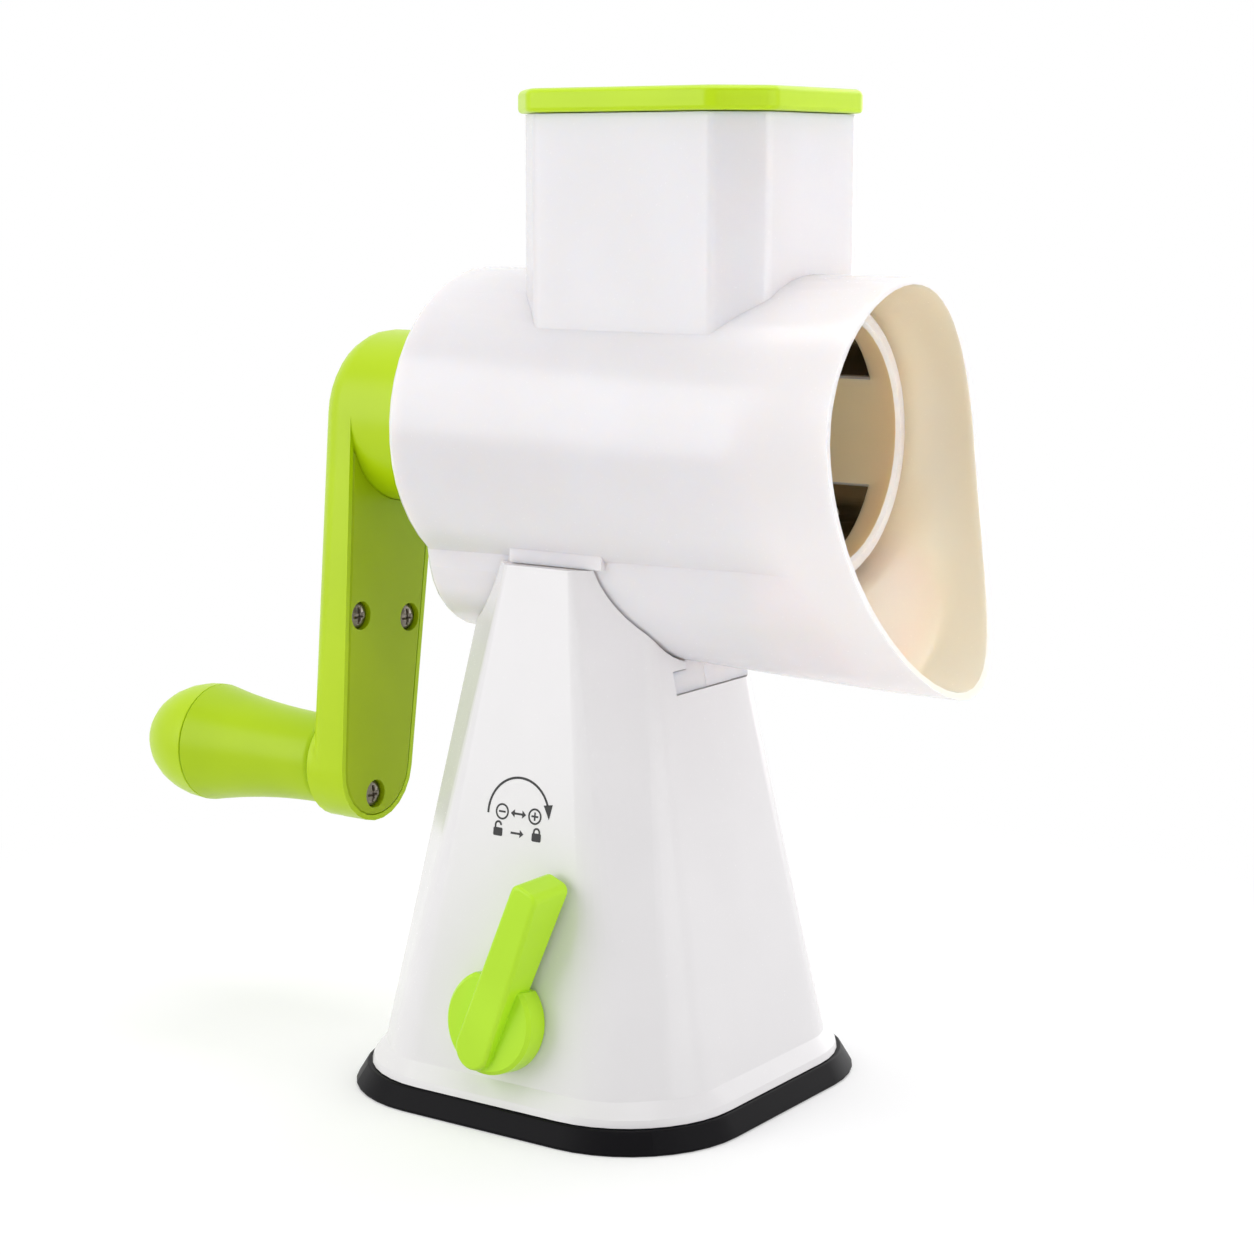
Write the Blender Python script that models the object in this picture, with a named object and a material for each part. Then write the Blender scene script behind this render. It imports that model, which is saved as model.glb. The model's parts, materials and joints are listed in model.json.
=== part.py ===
"""Hand cranked drum slicer for vegetables, on a suction base.

Units are metres and +Z is up. Sizes are measured from the point on the table under the
middle of the base. The whole is then moved so that the origin lies under the middle of
its full length and width. The drum lies along X, with the crank at -X and the open mouth
at +X. The lever faces -Y.
"""

import math

import bmesh
import bpy
from mathutils import Vector

MM = 0.001

# General
GAP = 0.3 * MM                    # between pieces that touch
RUNNING_GAP = 0.35 * MM           # between a shaft and the hole it turns in
ROUND_STEPS = 40                  # sides of a large round piece
SMALL_STEPS = 20                  # sides of a small round piece

WHOLE_MIDDLE_X = -22.4 * MM       # middle of the full length, from the grip's end to the mouth's lip
WHOLE_MIDDLE_Y = -0.7 * MM        # middle of the full width, from the lever's bar to the pad's back edge

# Suction pad under the base
PAD_WIDTH = 125 * MM
PAD_CORNER = 36 * MM
PAD_HEIGHT = 6.2 * MM
PAD_FLARE = 3.0 * MM              # how far the skirt spreads from its top to the table
PAD_LIP_WIDTH = 5.5 * MM          # the band that presses on the table
PAD_LIP_CORNER = 29.8 * MM
PAD_SHEET = 2.0 * MM              # thickness of the rubber sheet
PAD_DOME = 4.6 * MM               # how far the locked lever has drawn the middle up
PAD_SHEET_UNDERSIDE = 1.6 * MM

# Drum housing
AXIS_HEIGHT = 189.4 * MM
HOUSING_RADIUS = 44.5 * MM
HOUSING_WALL = 3.0 * MM
CHAMBER_FLOOR = AXIS_HEIGHT - HOUSING_RADIUS   # lowest line of the round housing
HOUSING_LEFT = -43.2 * MM
END_WALL = 3.2 * MM
BLEND_START = 66 * MM             # where the round housing starts to turn into the mouth
BLEND_END = 100 * MM
TROUGH_LEFT_HALF = HOUSING_RADIUS - 16.7 * MM  # half width of the lobe under the housing, at its left end
TROUGH_RIGHT_HALF = HOUSING_RADIUS - 13.8 * MM
TROUGH_LEFT_BOTTOM = CHAMBER_FLOOR - 15.7 * MM
TROUGH_RIGHT_BOTTOM = CHAMBER_FLOOR - 20.0 * MM
MOUTH_HALF = HOUSING_RADIUS - 3.9 * MM  # half width of the egg shaped mouth
MOUTH_WALL = 1.9 * MM
MOUTH_MIDDLE = AXIS_HEIGHT - 1.4 * MM
MOUTH_BOTTOM = CHAMBER_FLOOR - 20.9 * MM
MOUTH_TIP = 95.3 * MM             # the least reach of the mouth's curved edge
MOUTH_CURVE_RADIUS = 164 * MM
MOUTH_CURVE_HEIGHT = AXIS_HEIGHT + 15.6 * MM

# Tower
TOWER_FOOT_WIDTH = 117 * MM
TOWER_FOOT_CORNER = 34 * MM
SKIRT_TOP = 12.5 * MM             # height of the crease over the flared skirt
TOWER_TOP = CHAMBER_FLOOR + 13.8 * MM  # height that the side planes are drawn to, before the saddle is cut
TOWER_TOP_X = 25.8 * MM           # half widths there
TOWER_TOP_Y = 33.8 * MM
TOWER_TOP_CHAMFER = 14.8 * MM
TOWER_TOP_LEFT = 30.0 * MM        # the crank's side leans in a little less
TOWER_TOP_LEFT_CHAMFER = 21.0 * MM
TOWER_LOW_X = 54.5 * MM           # half width at the crease, both ways
TOWER_LOW_CHAMFER = 18.4 * MM
TOWER_TOP_FILLET = 2.0 * MM
TOWER_LOW_FILLET = 22.0 * MM
TOWER_WALL = 2.6 * MM
TOWER_RIM = CHAMBER_FLOOR + 8.6 * MM  # top edge of the front and back panels
TOWER_BLOCK = CHAMBER_FLOOR - 31.4 * MM  # underside of the solid block that holds the slide

# Feed chute and pusher
CHUTE_X = 27.7 * MM
CHUTE_LENGTH = 79.0 * MM
CHUTE_WIDTH = 2 * HOUSING_RADIUS - 22.6 * MM
CHUTE_CHAMFER = 11.1 * MM
CHUTE_FILLET = 4.0 * MM
CHUTE_WALL = 2.8 * MM
CHUTE_TOP = AXIS_HEIGHT + HOUSING_RADIUS + 42.3 * MM
CAP_THICKNESS = 6.4 * MM
CAP_OVERHANG = 2.0 * MM
PUSHER_PLAY = 0.6 * MM
PUSHER_WALL = 2.2 * MM
PUSHER_BOTTOM = AXIS_HEIGHT + HOUSING_RADIUS + 6.1 * MM
PUSHER_RIB = 1.6 * MM
PUSHER_RIB_SHORT = 6 * MM         # the ribs end this far from the pusher's sides
PUSHER_RIB_MARGIN = 14 * MM

# Slide that holds the housing on the tower
SLIDE_LEFT = -20 * MM
SLIDE_NECK_HALF = 7.3 * MM
SLIDE_FLANGE_HALF = 14.0 * MM
SLIDE_BOTTOM = CHAMBER_FLOOR - 26.5 * MM
SLIDE_FLANGE_TOP = CHAMBER_FLOOR - 20.5 * MM
SLIDE_END_HALF = 23.0 * MM        # far half width of the plate that closes the slide's end
SLIDE_END_DEPTH = 4.5 * MM
SLIDE_ROOT = 4 * MM               # how far the neck runs up into the lobe
SLIDE_END_ROOT = 9 * MM
SLIDE_END_STEP = 0.2 * MM         # the plate stands this far over the slide's own end
SADDLE_PLAY = 0.6 * MM
REST_PAD_LEFT = -11 * MM          # the pads that rest on the tower's front and back rims
REST_PAD_RIGHT = 20 * MM
REST_PAD_HALF = 31.2 * MM
REST_PAD_DEPTH = 3 * MM
REST_PAD_HEIGHT = 6 * MM

# Crank
CRANK_TILT = math.radians(8.4)    # how far the arm hangs towards the front
CRANK_THROW = 105.5 * MM
HUB_RADIUS = 25.3 * MM
ARM_END_RADIUS = 16.3 * MM
ARM_INNER_FACE = -73.0 * MM
ARM_THICKNESS = 14.0 * MM
ARM_ROUNDING = 5.5 * MM
HUB_ROUNDING = 10.0 * MM
ARM_WALL = 1.6 * MM
ARM_FLOOR = 2.6 * MM
COVER_THICKNESS = 5.4 * MM
ARM_SCREW_DROP = 60.3 * MM
ARM_SCREW_FRONT = -13.3 * MM
ARM_SCREW_BACK = 9.3 * MM
ARM_LAST_SCREW_DROP = 113.7 * MM
SCREW_HEAD_RADIUS = 3.1 * MM
SCREW_HEAD_HEIGHT = 1.9 * MM
SCREW_SHANK_RADIUS = 1.5 * MM
SCREW_LENGTH = 7.0 * MM
SCREW_WELL_RADIUS = 4.4 * MM
SCREW_WELL_DEPTH = 4.0 * MM
CROSS_WIDTH = 0.9 * MM
SHAFT_RADIUS = 8.0 * MM
SHAFT_SOCKET_DEPTH = 22 * MM
SHAFT_HEX_FLATS = 12.0 * MM
SHAFT_END = -11 * MM
BUSH_WALL = 3.5 * MM
BUSH_FLANGE = 3.5 * MM
BUSH_FLANGE_THICKNESS = 1.6 * MM
CLIP_WIDTH = 3.0 * MM
CLIP_THICKNESS = 1.2 * MM

# Grip on the crank
GRIP_BOSS_RADIUS = 16.2 * MM
GRIP_BOSS_LENGTH = 1.0 * MM
GRIP_GAP = 1.0 * MM
GRIP_NECK_RADIUS = 13.4 * MM
GRIP_NECK_ROUNDING = 2.6 * MM
GRIP_RADIUS = 18.2 * MM
GRIP_LENGTH = 48 * MM
GRIP_CAP_LENGTH = 24.3 * MM
GRIP_PIN_RADIUS = 3.5 * MM
GRIP_PIN_HEAD_RADIUS = 6.0 * MM
GRIP_PIN_HEAD = 3.0 * MM
GRIP_CAP_SPIGOT_RADIUS = 11.5 * MM
GRIP_CAP_SPIGOT = 5.0 * MM
GRIP_WELL_DEPTH = 11 * MM

# Blade drum
DRUM_LEFT = -25 * MM
DRUM_FRONT = 75.5 * MM
DRUM_RING_RADIUS = MOUTH_HALF - MOUTH_WALL - 0.4 * MM  # passes through the mouth
DRUM_RING_BORE = DRUM_RING_RADIUS - 4.7 * MM
DRUM_RING_LENGTH = 8.0 * MM
DRUM_WALL_OUTER = DRUM_RING_RADIUS - 1.0 * MM
DRUM_WALL_INNER = DRUM_WALL_OUTER - 2.7 * MM
DRUM_END_WALL = 3.5 * MM
DRUM_RIBS = 3
RIB_HALF_ANGLE = math.radians(25)
DRUM_HUB_RADIUS = 13 * MM
DRUM_HUB_LENGTH = 16 * MM
BLADE_THICKNESS = 0.8 * MM
BLADE_OUTER = DRUM_WALL_OUTER - 1.0 * MM
BLADE_ROWS = 3
BLADE_COLUMNS = 8
BLADE_HOLE_RADIUS = 2.6 * MM
BLADE_STEPS = 14

# Suction lever and what it works
LEVER_X = 2.0 * MM
LEVER_HEIGHT = 29.4 * MM
LEVER_TILT = math.radians(21)     # from upright, leaning to +X
LEVER_DISC_RADIUS = 14.4 * MM
LEVER_DISC_THICKNESS = 8 * MM
LEVER_FLAT = 11.7 * MM            # distance of the flat that clears the bar's overhang
LEVER_FLAT_TURN = math.radians(10)
LEVER_BAR_LOW_HALF = 5.9 * MM
LEVER_BAR_TOP_HALF = 4.6 * MM
LEVER_BAR_CORNER = 2.6 * MM
LEVER_BAR_TOP = 42.5 * MM
LEVER_BAR_BOTTOM = 14.2 * MM
LEVER_BAR_FRONT = 11.5 * MM       # above the wall at the lever's axis
LEVER_BAR_RISE = math.tan(math.radians(6.6))
LEVER_BAR_BACK = 2.2 * MM
LEVER_BAR_EDGE = 1.3 * MM
LEVER_BAR_BACK_LONGER = 2.4 * MM
CAM_SHAFT_RADIUS = 3.6 * MM
CAM_SHAFT_LENGTH = 64 * MM
CAM_DEPTH = 52.5 * MM             # how far behind the wall the cam's middle is
CAM_THICKNESS = 7 * MM
CAM_RADIUS = 5.5 * MM
CAM_THROW = 2.5 * MM
YOKE_WALL = 2.4 * MM
YOKE_THICKNESS = 5.6 * MM
ROD_FOOT_RADIUS = 15 * MM
ROD_FOOT_THICKNESS = 2.0 * MM
PLATE_BOTTOM = 12.2 * MM
PLATE_THICKNESS = 2.4 * MM
PLATE_SCREW_SPACING = 72 * MM
PLATE_POST_RADIUS = 4.6 * MM
BRACKET_THICKNESS = 5 * MM
BRACKET_HALF = 9 * MM

CORNERS = ((1, 1), (1, -1), (-1, 1), (-1, -1))

COLOURS = {
    # name: (linear red, green, blue), roughness, metallic
    "white_abs": ((0.84, 0.83, 0.81), 0.28, 0.0),
    "green_abs": ((0.42, 0.70, 0.01), 0.30, 0.0),
    "black_rubber": ((0.02, 0.02, 0.023), 0.55, 0.0),
    "blade_steel": ((0.56, 0.55, 0.53), 0.22, 1.0),
    "bright_steel": ((0.62, 0.61, 0.60), 0.30, 1.0),
    "natural_nylon": ((0.72, 0.70, 0.64), 0.45, 0.0),
}


def material(name):
    """The material of that name, made the first time it is asked for."""
    found = bpy.data.materials.get(name)
    if found:
        return found
    colour, roughness, metallic = COLOURS[name]
    made = bpy.data.materials.new(name)
    made.use_nodes = True
    shader = made.node_tree.nodes["Principled BSDF"]
    shader.inputs["Base Color"].default_value = (*colour, 1)
    shader.inputs["Roughness"].default_value = roughness
    shader.inputs["Metallic"].default_value = metallic
    made.diffuse_color = (*colour, 1)
    return made


def new_object(name, bm):
    """An object from a bmesh, with merged points and its faces pointing out."""
    bmesh.ops.remove_doubles(bm, verts=bm.verts, dist=1e-6)
    bmesh.ops.dissolve_degenerate(bm, edges=bm.edges, dist=1e-7)
    bmesh.ops.recalc_face_normals(bm, faces=bm.faces)
    mesh = bpy.data.meshes.new(name)
    bm.to_mesh(mesh)
    bm.free()
    made = bpy.data.objects.new(name, mesh)
    bpy.context.scene.collection.objects.link(made)
    return made


def loft(name, rings):
    """A closed body through rings of the same number of points, with flat ends."""
    bm = bmesh.new()
    rows = [[bm.verts.new(p) for p in ring] for ring in rings]
    count = len(rows[0])
    for low, high in zip(rows, rows[1:]):
        for i in range(count):
            j = (i + 1) % count
            bm.faces.new((low[i], low[j], high[j], high[i]))
    bm.faces.new(rows[0])
    bm.faces.new(rows[-1])
    return new_object(name, bm)


def loop_loft(name, rings):
    """A closed body whose last ring joins back to its first, like a frame or a tube."""
    bm = bmesh.new()
    rows = [[bm.verts.new(p) for p in ring] for ring in rings]
    count = len(rows[0])
    for low, high in zip(rows, rows[1:] + rows[:1]):
        for i in range(count):
            j = (i + 1) % count
            bm.faces.new((low[i], low[j], high[j], high[i]))
    return new_object(name, bm)


def circle(x, radius, steps, centre=(0.0, 0.0), start=0.0):
    """Points of a circle in the plane at x, about (y, z) = centre."""
    turn = 2 * math.pi / steps
    return [
        Vector((
            x, centre[0] + radius * math.cos(start + i * turn),
            centre[1] + radius * math.sin(start + i * turn),
        ))
        for i in range(steps)
    ]


def turned(name, profile, steps=ROUND_STEPS, centre=(0.0, 0.0), closed=False):
    """A body turned about X through (y, z) = centre. The profile is (x, radius) pairs."""
    tip = 1e-7
    rings = [circle(x, max(radius, tip), steps, centre) for x, radius in profile]
    return loop_loft(name, rings) if closed else loft(name, rings)


def upright(name, profile, steps=ROUND_STEPS, centre=(0.0, 0.0), closed=False):
    """A body turned about Z through (x, y) = centre. The profile is (z, radius) pairs."""
    rings = []
    for z, radius in profile:
        ring = circle(0, max(radius, 1e-7), steps)
        rings.append([Vector((centre[0] + p.y, centre[1] + p.z, z)) for p in ring])
    return loop_loft(name, rings) if closed else loft(name, rings)


def box(name, low, high):
    """A box between two corners."""
    outline = [(low[0], low[1]), (high[0], low[1]), (high[0], high[1]), (low[0], high[1])]
    return loft(name, [[Vector((x, y, z)) for x, y in outline] for z in (low[2], high[2])])


def prism(name, outline, low_y, high_y):
    """A flat outline of (x, z) points, drawn out along Y."""
    return loft(name, [[Vector((x, y, z)) for x, z in outline] for y in (low_y, high_y)])


def boolean(target, tool, operation):
    """Cuts, joins or intersects the tool with the target, and removes the tool."""
    modifier = target.modifiers.new("boolean", "BOOLEAN")
    modifier.operation = operation
    modifier.solver = "EXACT"
    modifier.object = tool
    bpy.context.view_layer.update()
    shape = target.evaluated_get(bpy.context.evaluated_depsgraph_get())
    mesh = bpy.data.meshes.new_from_object(shape)
    target.modifiers.clear()
    target.data = mesh
    bpy.data.objects.remove(tool)
    return target


def cut(target, tool):
    """Takes the tool's shape out of the target."""
    return boolean(target, tool, "DIFFERENCE")


def join(target, tool):
    """Adds the tool's shape to the target."""
    return boolean(target, tool, "UNION")


def finish(piece, group, colour, sharp=32.0):
    """Names the mesh, smooths its shading, gives it its material and hangs it on its group."""
    piece.data.name = piece.name
    piece.data.shade_smooth()
    piece.data.set_sharp_from_angle(angle=math.radians(sharp))
    piece.data.materials.clear()
    piece.data.materials.append(material(colour))
    piece.parent = group
    return piece


def group_at(name, location, rotation=(0.0, 0.0, 0.0), parent=None):
    """An empty that carries the pieces of one moving body."""
    made = bpy.data.objects.new(name, None)
    made.parent = parent
    made.location = location
    made.rotation_euler = rotation
    made.empty_display_size = 0.02
    bpy.context.scene.collection.objects.link(made)
    return made


def rounded_section(half_x, half_y, chamfer, fillet, z, centre_x=0.0, steps=6, left_chamfer=None):
    """A rectangle with cut corners, each vertex of a cut rounded.

    A fillet of 1.7 chamfers makes a round corner.
    """
    right_chamfer = chamfer
    fillet = min(fillet, chamfer * math.sqrt(2) / (2 * math.tan(math.pi / 8)) * 0.999)
    reach = fillet * math.tan(math.pi / 8)
    points = []
    for quarter in range(4):
        along = quarter * math.pi / 2
        on_left = quarter in (1, 2) and left_chamfer is not None
        chamfer = left_chamfer if on_left else right_chamfer
        first, second = (half_x, half_y) if quarter % 2 == 0 else (half_y, half_x)
        vertices = [((first, second - chamfer), 0.0), ((first - chamfer, second), math.pi / 4)]
        for (vx, vy), heading in vertices:
            # The arc starts one tangent length before the vertex, on the side it comes from
            start_x = vx - reach * math.cos(heading + math.pi / 2)
            start_y = vy - reach * math.sin(heading + math.pi / 2)
            middle_x = start_x - fillet * math.cos(heading)
            middle_y = start_y - fillet * math.sin(heading)
            for i in range(steps):
                angle = heading + i / (steps - 1) * math.pi / 4
                x = middle_x + fillet * math.cos(angle)
                y = middle_y + fillet * math.sin(angle)
                points.append(Vector((
                    centre_x + x * math.cos(along) - y * math.sin(along),
                    x * math.sin(along) + y * math.cos(along),
                    z,
                )))
    return points


def smooth_step(low, high, value):
    """0 before low, 1 after high, and a smooth turn between them."""
    t = min(1.0, max(0.0, (value - low) / (high - low)))
    return t * t * (3 - 2 * t)


def mix(a, b, t):
    return a + (b - a) * t


def hub_angles(hub_radius, end_radius):
    """Where the arm's two sides leave the hub.

    The front side is a tangent, and the back one hangs straight down.
    """
    return -math.acos(end_radius / hub_radius), math.pi + math.asin((hub_radius - end_radius) / CRANK_THROW)


def arm_ring(x, inset, hub_inset=None, rounding=(0.0, 0.0), steps=12):
    """Outline of the arm round its hub and its end.

    The rounding is how far x moves, at the hub and at the end.
    """
    hub_radius = HUB_RADIUS - (inset if hub_inset is None else hub_inset)
    end_radius = ARM_END_RADIUS - inset
    first, last = hub_angles(hub_radius, end_radius)
    points = []
    for i in range(2 * steps + 1):
        angle = mix(first, last, i / (2 * steps))
        points.append(Vector((x, hub_radius * math.cos(angle), hub_radius * math.sin(angle))))
    for i in range(steps + 1):
        angle = mix(last, 2 * math.pi, i / steps)
        points.append(Vector((x, end_radius * math.cos(angle), -CRANK_THROW + end_radius * math.sin(angle))))
    for point in points:
        share = min(1.0, max(0.0, -point.z / CRANK_THROW))
        point.x += mix(rounding[0], rounding[1], share)
    return points


def tower_section(z, inset=0.0):
    """Outline of the tower's faceted walls at a height, moved in by inset."""
    t = (z - SKIRT_TOP) / (TOWER_TOP - SKIRT_TOP)
    right = mix(TOWER_LOW_X, TOWER_TOP_X, t) - inset
    left = mix(TOWER_LOW_X, TOWER_TOP_LEFT, t) - inset
    return rounded_section(
        (right + left) / 2,
        mix(TOWER_LOW_X, TOWER_TOP_Y, t) - inset,
        mix(TOWER_LOW_CHAMFER, TOWER_TOP_CHAMFER, t) - inset * (2 - math.sqrt(2)),
        mix(TOWER_LOW_FILLET, TOWER_TOP_FILLET, t) - inset * 0.5,
        z,
        (right - left) / 2,
        left_chamfer=mix(TOWER_LOW_CHAMFER, TOWER_TOP_LEFT_CHAMFER, t) - inset * (2 - math.sqrt(2)),
    )


def tower_half_y(z):
    """Distance of the tower's front plane from the middle, at a height."""
    return mix(TOWER_LOW_X, TOWER_TOP_Y, (z - SKIRT_TOP) / (TOWER_TOP - SKIRT_TOP))


def tower_half_x(z):
    """Distance of the tower's side plane from the middle, at a height."""
    return mix(TOWER_LOW_X, TOWER_TOP_X, (z - SKIRT_TOP) / (TOWER_TOP - SKIRT_TOP))


def square_section(width, corner, z):
    """A square with round corners, at a height."""
    chamfer = corner * (2 - math.sqrt(2))
    return rounded_section(width / 2, width / 2, chamfer, corner, z)


def make_suction_pad(base):
    """Rubber pad: a flared skirt, a lip that stands inside the tower, and a sheet drawn up in the middle."""
    top_width = PAD_WIDTH - 2 * PAD_FLARE
    lip_outer = 2 * (TOWER_LOW_X - TOWER_WALL - GAP)
    lip_inner = lip_outer - 6 * MM
    lip_corner = PAD_LIP_CORNER
    dome = [
        (PAD_SHEET_UNDERSIDE, lip_inner - 4 * MM, lip_corner - 4 * MM),
        (PAD_SHEET_UNDERSIDE + PAD_DOME * 0.35, lip_inner * 0.62, lip_inner * 0.30),
        (PAD_SHEET_UNDERSIDE + PAD_DOME, 2 * ROD_FOOT_RADIUS, ROD_FOOT_RADIUS),
    ]
    rings = [square_section(width, corner, z) for z, width, corner in reversed(dome)]
    rings += [
        square_section(PAD_WIDTH - 2 * PAD_LIP_WIDTH, PAD_CORNER - PAD_LIP_WIDTH, 0),
        square_section(PAD_WIDTH - 1.0 * MM, PAD_CORNER - 0.5 * MM, 0),
        square_section(PAD_WIDTH, PAD_CORNER, 0.7 * MM),
        square_section(top_width, PAD_CORNER - PAD_FLARE, PAD_HEIGHT - 0.6 * MM),
        square_section(top_width - 0.8 * MM, PAD_CORNER - PAD_FLARE - 0.4 * MM, PAD_HEIGHT),
        square_section(lip_outer, lip_corner, PAD_HEIGHT),
        square_section(lip_outer, lip_corner, PLATE_BOTTOM - GAP),
        square_section(lip_inner, lip_corner - 3 * MM, PLATE_BOTTOM - GAP),
    ]
    rings += [square_section(width, corner, z + PAD_SHEET) for z, width, corner in dome]
    return finish(loft("suction_pad", rings), base, "black_rubber")


def make_tower(base):
    """Tapered tower, hollow below, with a saddle and a slot for the housing's slide on top."""
    foot = PAD_HEIGHT + GAP
    shoulder = foot + 2 * MM
    rings = [
        square_section(TOWER_FOOT_WIDTH, TOWER_FOOT_CORNER, foot),
        square_section(TOWER_FOOT_WIDTH - 1.0 * MM, TOWER_FOOT_CORNER - 0.5 * MM, shoulder),
        tower_section(SKIRT_TOP),
    ]
    rings += [tower_section(mix(SKIRT_TOP, TOWER_TOP, t)) for t in (0.25, 0.5, 0.75, 1.0)]
    tower = loft("base_tower", rings)

    cavity = loft("cavity", [
        square_section(2 * (TOWER_LOW_X - TOWER_WALL), TOWER_FOOT_CORNER - 7 * MM, foot - 5 * MM),
        tower_section(SKIRT_TOP, TOWER_WALL),
        tower_section(mix(SKIRT_TOP, TOWER_BLOCK, 0.5), TOWER_WALL),
        tower_section(TOWER_BLOCK, TOWER_WALL),
    ])
    half = PLATE_SCREW_SPACING / 2
    for sx, sy in CORNERS:
        post = [(PLATE_BOTTOM + PLATE_THICKNESS + GAP, PLATE_POST_RADIUS), (70 * MM, PLATE_POST_RADIUS)]
        cut(cavity, upright("post", post, SMALL_STEPS, (sx * half, sy * half)))
    cut(tower, cavity)
    for sx, sy in CORNERS:
        hole = [(PLATE_BOTTOM, SCREW_SHANK_RADIUS + GAP), (PLATE_BOTTOM + 14 * MM, SCREW_SHANK_RADIUS + GAP)]
        cut(tower, upright("hole", hole, 12, (sx * half, sy * half)))

    # The saddle follows the housing's lobe, and is open upwards
    far = 80 * MM
    steps = 28
    saddle = []
    for x in (-far, BLEND_START):
        half, crease, bottom = trough_size(x)
        half += SADDLE_PLAY
        ring = []
        for i in range(steps + 1):
            angle = math.pi + math.pi * i / steps
            depth = crease - bottom + SADDLE_PLAY
            ring.append(Vector((x, half * math.cos(angle), crease + depth * math.sin(angle))))
        ring += [Vector((x, half, TOWER_TOP + 20 * MM)), Vector((x, -half, TOWER_TOP + 20 * MM))]
        saddle.append(ring)
    cut(tower, loft("saddle", saddle))
    cut(tower, box("rim", (-far, -far, TOWER_RIM), (far, far, TOWER_TOP + 20 * MM)))

    # Slot for the slide, open at the right
    left = SLIDE_LEFT - GAP
    neck = SLIDE_NECK_HALF + GAP
    cut(tower, box("neck", (left, -neck, SLIDE_FLANGE_TOP - 1 * MM), (far, neck, TOWER_TOP)))
    flange = SLIDE_FLANGE_HALF + GAP
    cut(tower, box("flange", (left, -flange, SLIDE_BOTTOM - GAP), (far, flange, SLIDE_FLANGE_TOP + GAP)))
    end = tower_half_x(SLIDE_BOTTOM) - SLIDE_END_DEPTH - GAP
    cut(tower, box("end", (end, 0, SLIDE_BOTTOM - GAP), (far, SLIDE_END_HALF + GAP, TOWER_TOP)))

    # Hole for the lever's shaft, square to the front wall
    bore = CAM_SHAFT_RADIUS + RUNNING_GAP
    hole = turned("shaft_hole", [(-10 * MM, bore), (15 * MM, bore)], SMALL_STEPS)
    cut(tower, place_on_wall(hole))
    return finish(tower, base, "white_abs", 24)


def wall_lean():
    """How far the front wall leans back from upright."""
    return math.atan2(TOWER_LOW_X - TOWER_TOP_Y, TOWER_TOP - SKIRT_TOP)


def lever_origin():
    """Where the lever's axis meets the outside of the front wall."""
    return Vector((LEVER_X, -tower_half_y(LEVER_HEIGHT), LEVER_HEIGHT))


def place_on_wall(piece):
    """Turns a piece made along X, with +X out of the wall, onto the lever's axis."""
    lean = wall_lean()
    out = Vector((0, -math.cos(lean), math.sin(lean)))
    for v in piece.data.vertices:
        x, y, z = v.co
        up = Vector((0, math.sin(lean), math.cos(lean)))
        v.co = lever_origin() + out * x + Vector((1, 0, 0)) * y + up * z
    fix = bmesh.new()
    fix.from_mesh(piece.data)
    bmesh.ops.recalc_face_normals(fix, faces=fix.faces)
    fix.to_mesh(piece.data)
    fix.free()
    return piece


def trough_size(x):
    """Half width, height of the crease and height of the bottom of the lobe under the housing."""
    t = (x - HOUSING_LEFT) / (BLEND_START - HOUSING_LEFT)
    half = mix(TROUGH_LEFT_HALF, TROUGH_RIGHT_HALF, t)
    crease = AXIS_HEIGHT - math.sqrt(HOUSING_RADIUS ** 2 - half ** 2)
    return half, crease, mix(TROUGH_LEFT_BOTTOM, TROUGH_RIGHT_BOTTOM, t)


def housing_section(x, inset=0.0, top_steps=36, low_steps=16):
    """Outside of the housing at x: a circle over a lobe, which turns into the egg of the mouth."""
    blend = smooth_step(BLEND_START, BLEND_END, x)
    half, crease, bottom = trough_size(min(x, BLEND_START))
    egg_half = MOUTH_HALF - inset
    egg_up = AXIS_HEIGHT + HOUSING_RADIUS - MOUTH_MIDDLE - inset
    egg_down = MOUTH_MIDDLE - MOUTH_BOTTOM - inset
    egg_start = math.asin((MOUTH_MIDDLE - crease) / egg_down)
    radius = HOUSING_RADIUS - inset
    points = []
    below = math.asin((AXIS_HEIGHT - crease) / HOUSING_RADIUS)
    for i in range(top_steps + 1):
        share = i / top_steps
        angle = mix(-below, math.pi + below, share)
        round_y, round_z = radius * math.cos(angle), AXIS_HEIGHT + radius * math.sin(angle)
        turn = mix(-egg_start, math.pi + egg_start, share)
        reach = egg_up if math.sin(turn) > 0 else egg_down
        egg_y, egg_z = egg_half * math.cos(turn), MOUTH_MIDDLE + reach * math.sin(turn)
        points.append(Vector((x, mix(round_y, egg_y, blend), mix(round_z, egg_z, blend))))
    for i in range(1, low_steps):
        share = i / low_steps
        angle = math.pi + math.pi * share
        lobe_y = (half - inset) * math.cos(angle)
        lobe_z = crease + (crease - bottom - inset) * math.sin(angle)
        turn = mix(math.pi + egg_start, 2 * math.pi - egg_start, share)
        egg_y, egg_z = egg_half * math.cos(turn), MOUTH_MIDDLE + egg_down * math.sin(turn)
        points.append(Vector((x, mix(lobe_y, egg_y, blend), mix(lobe_z, egg_z, blend))))
    return points


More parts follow.
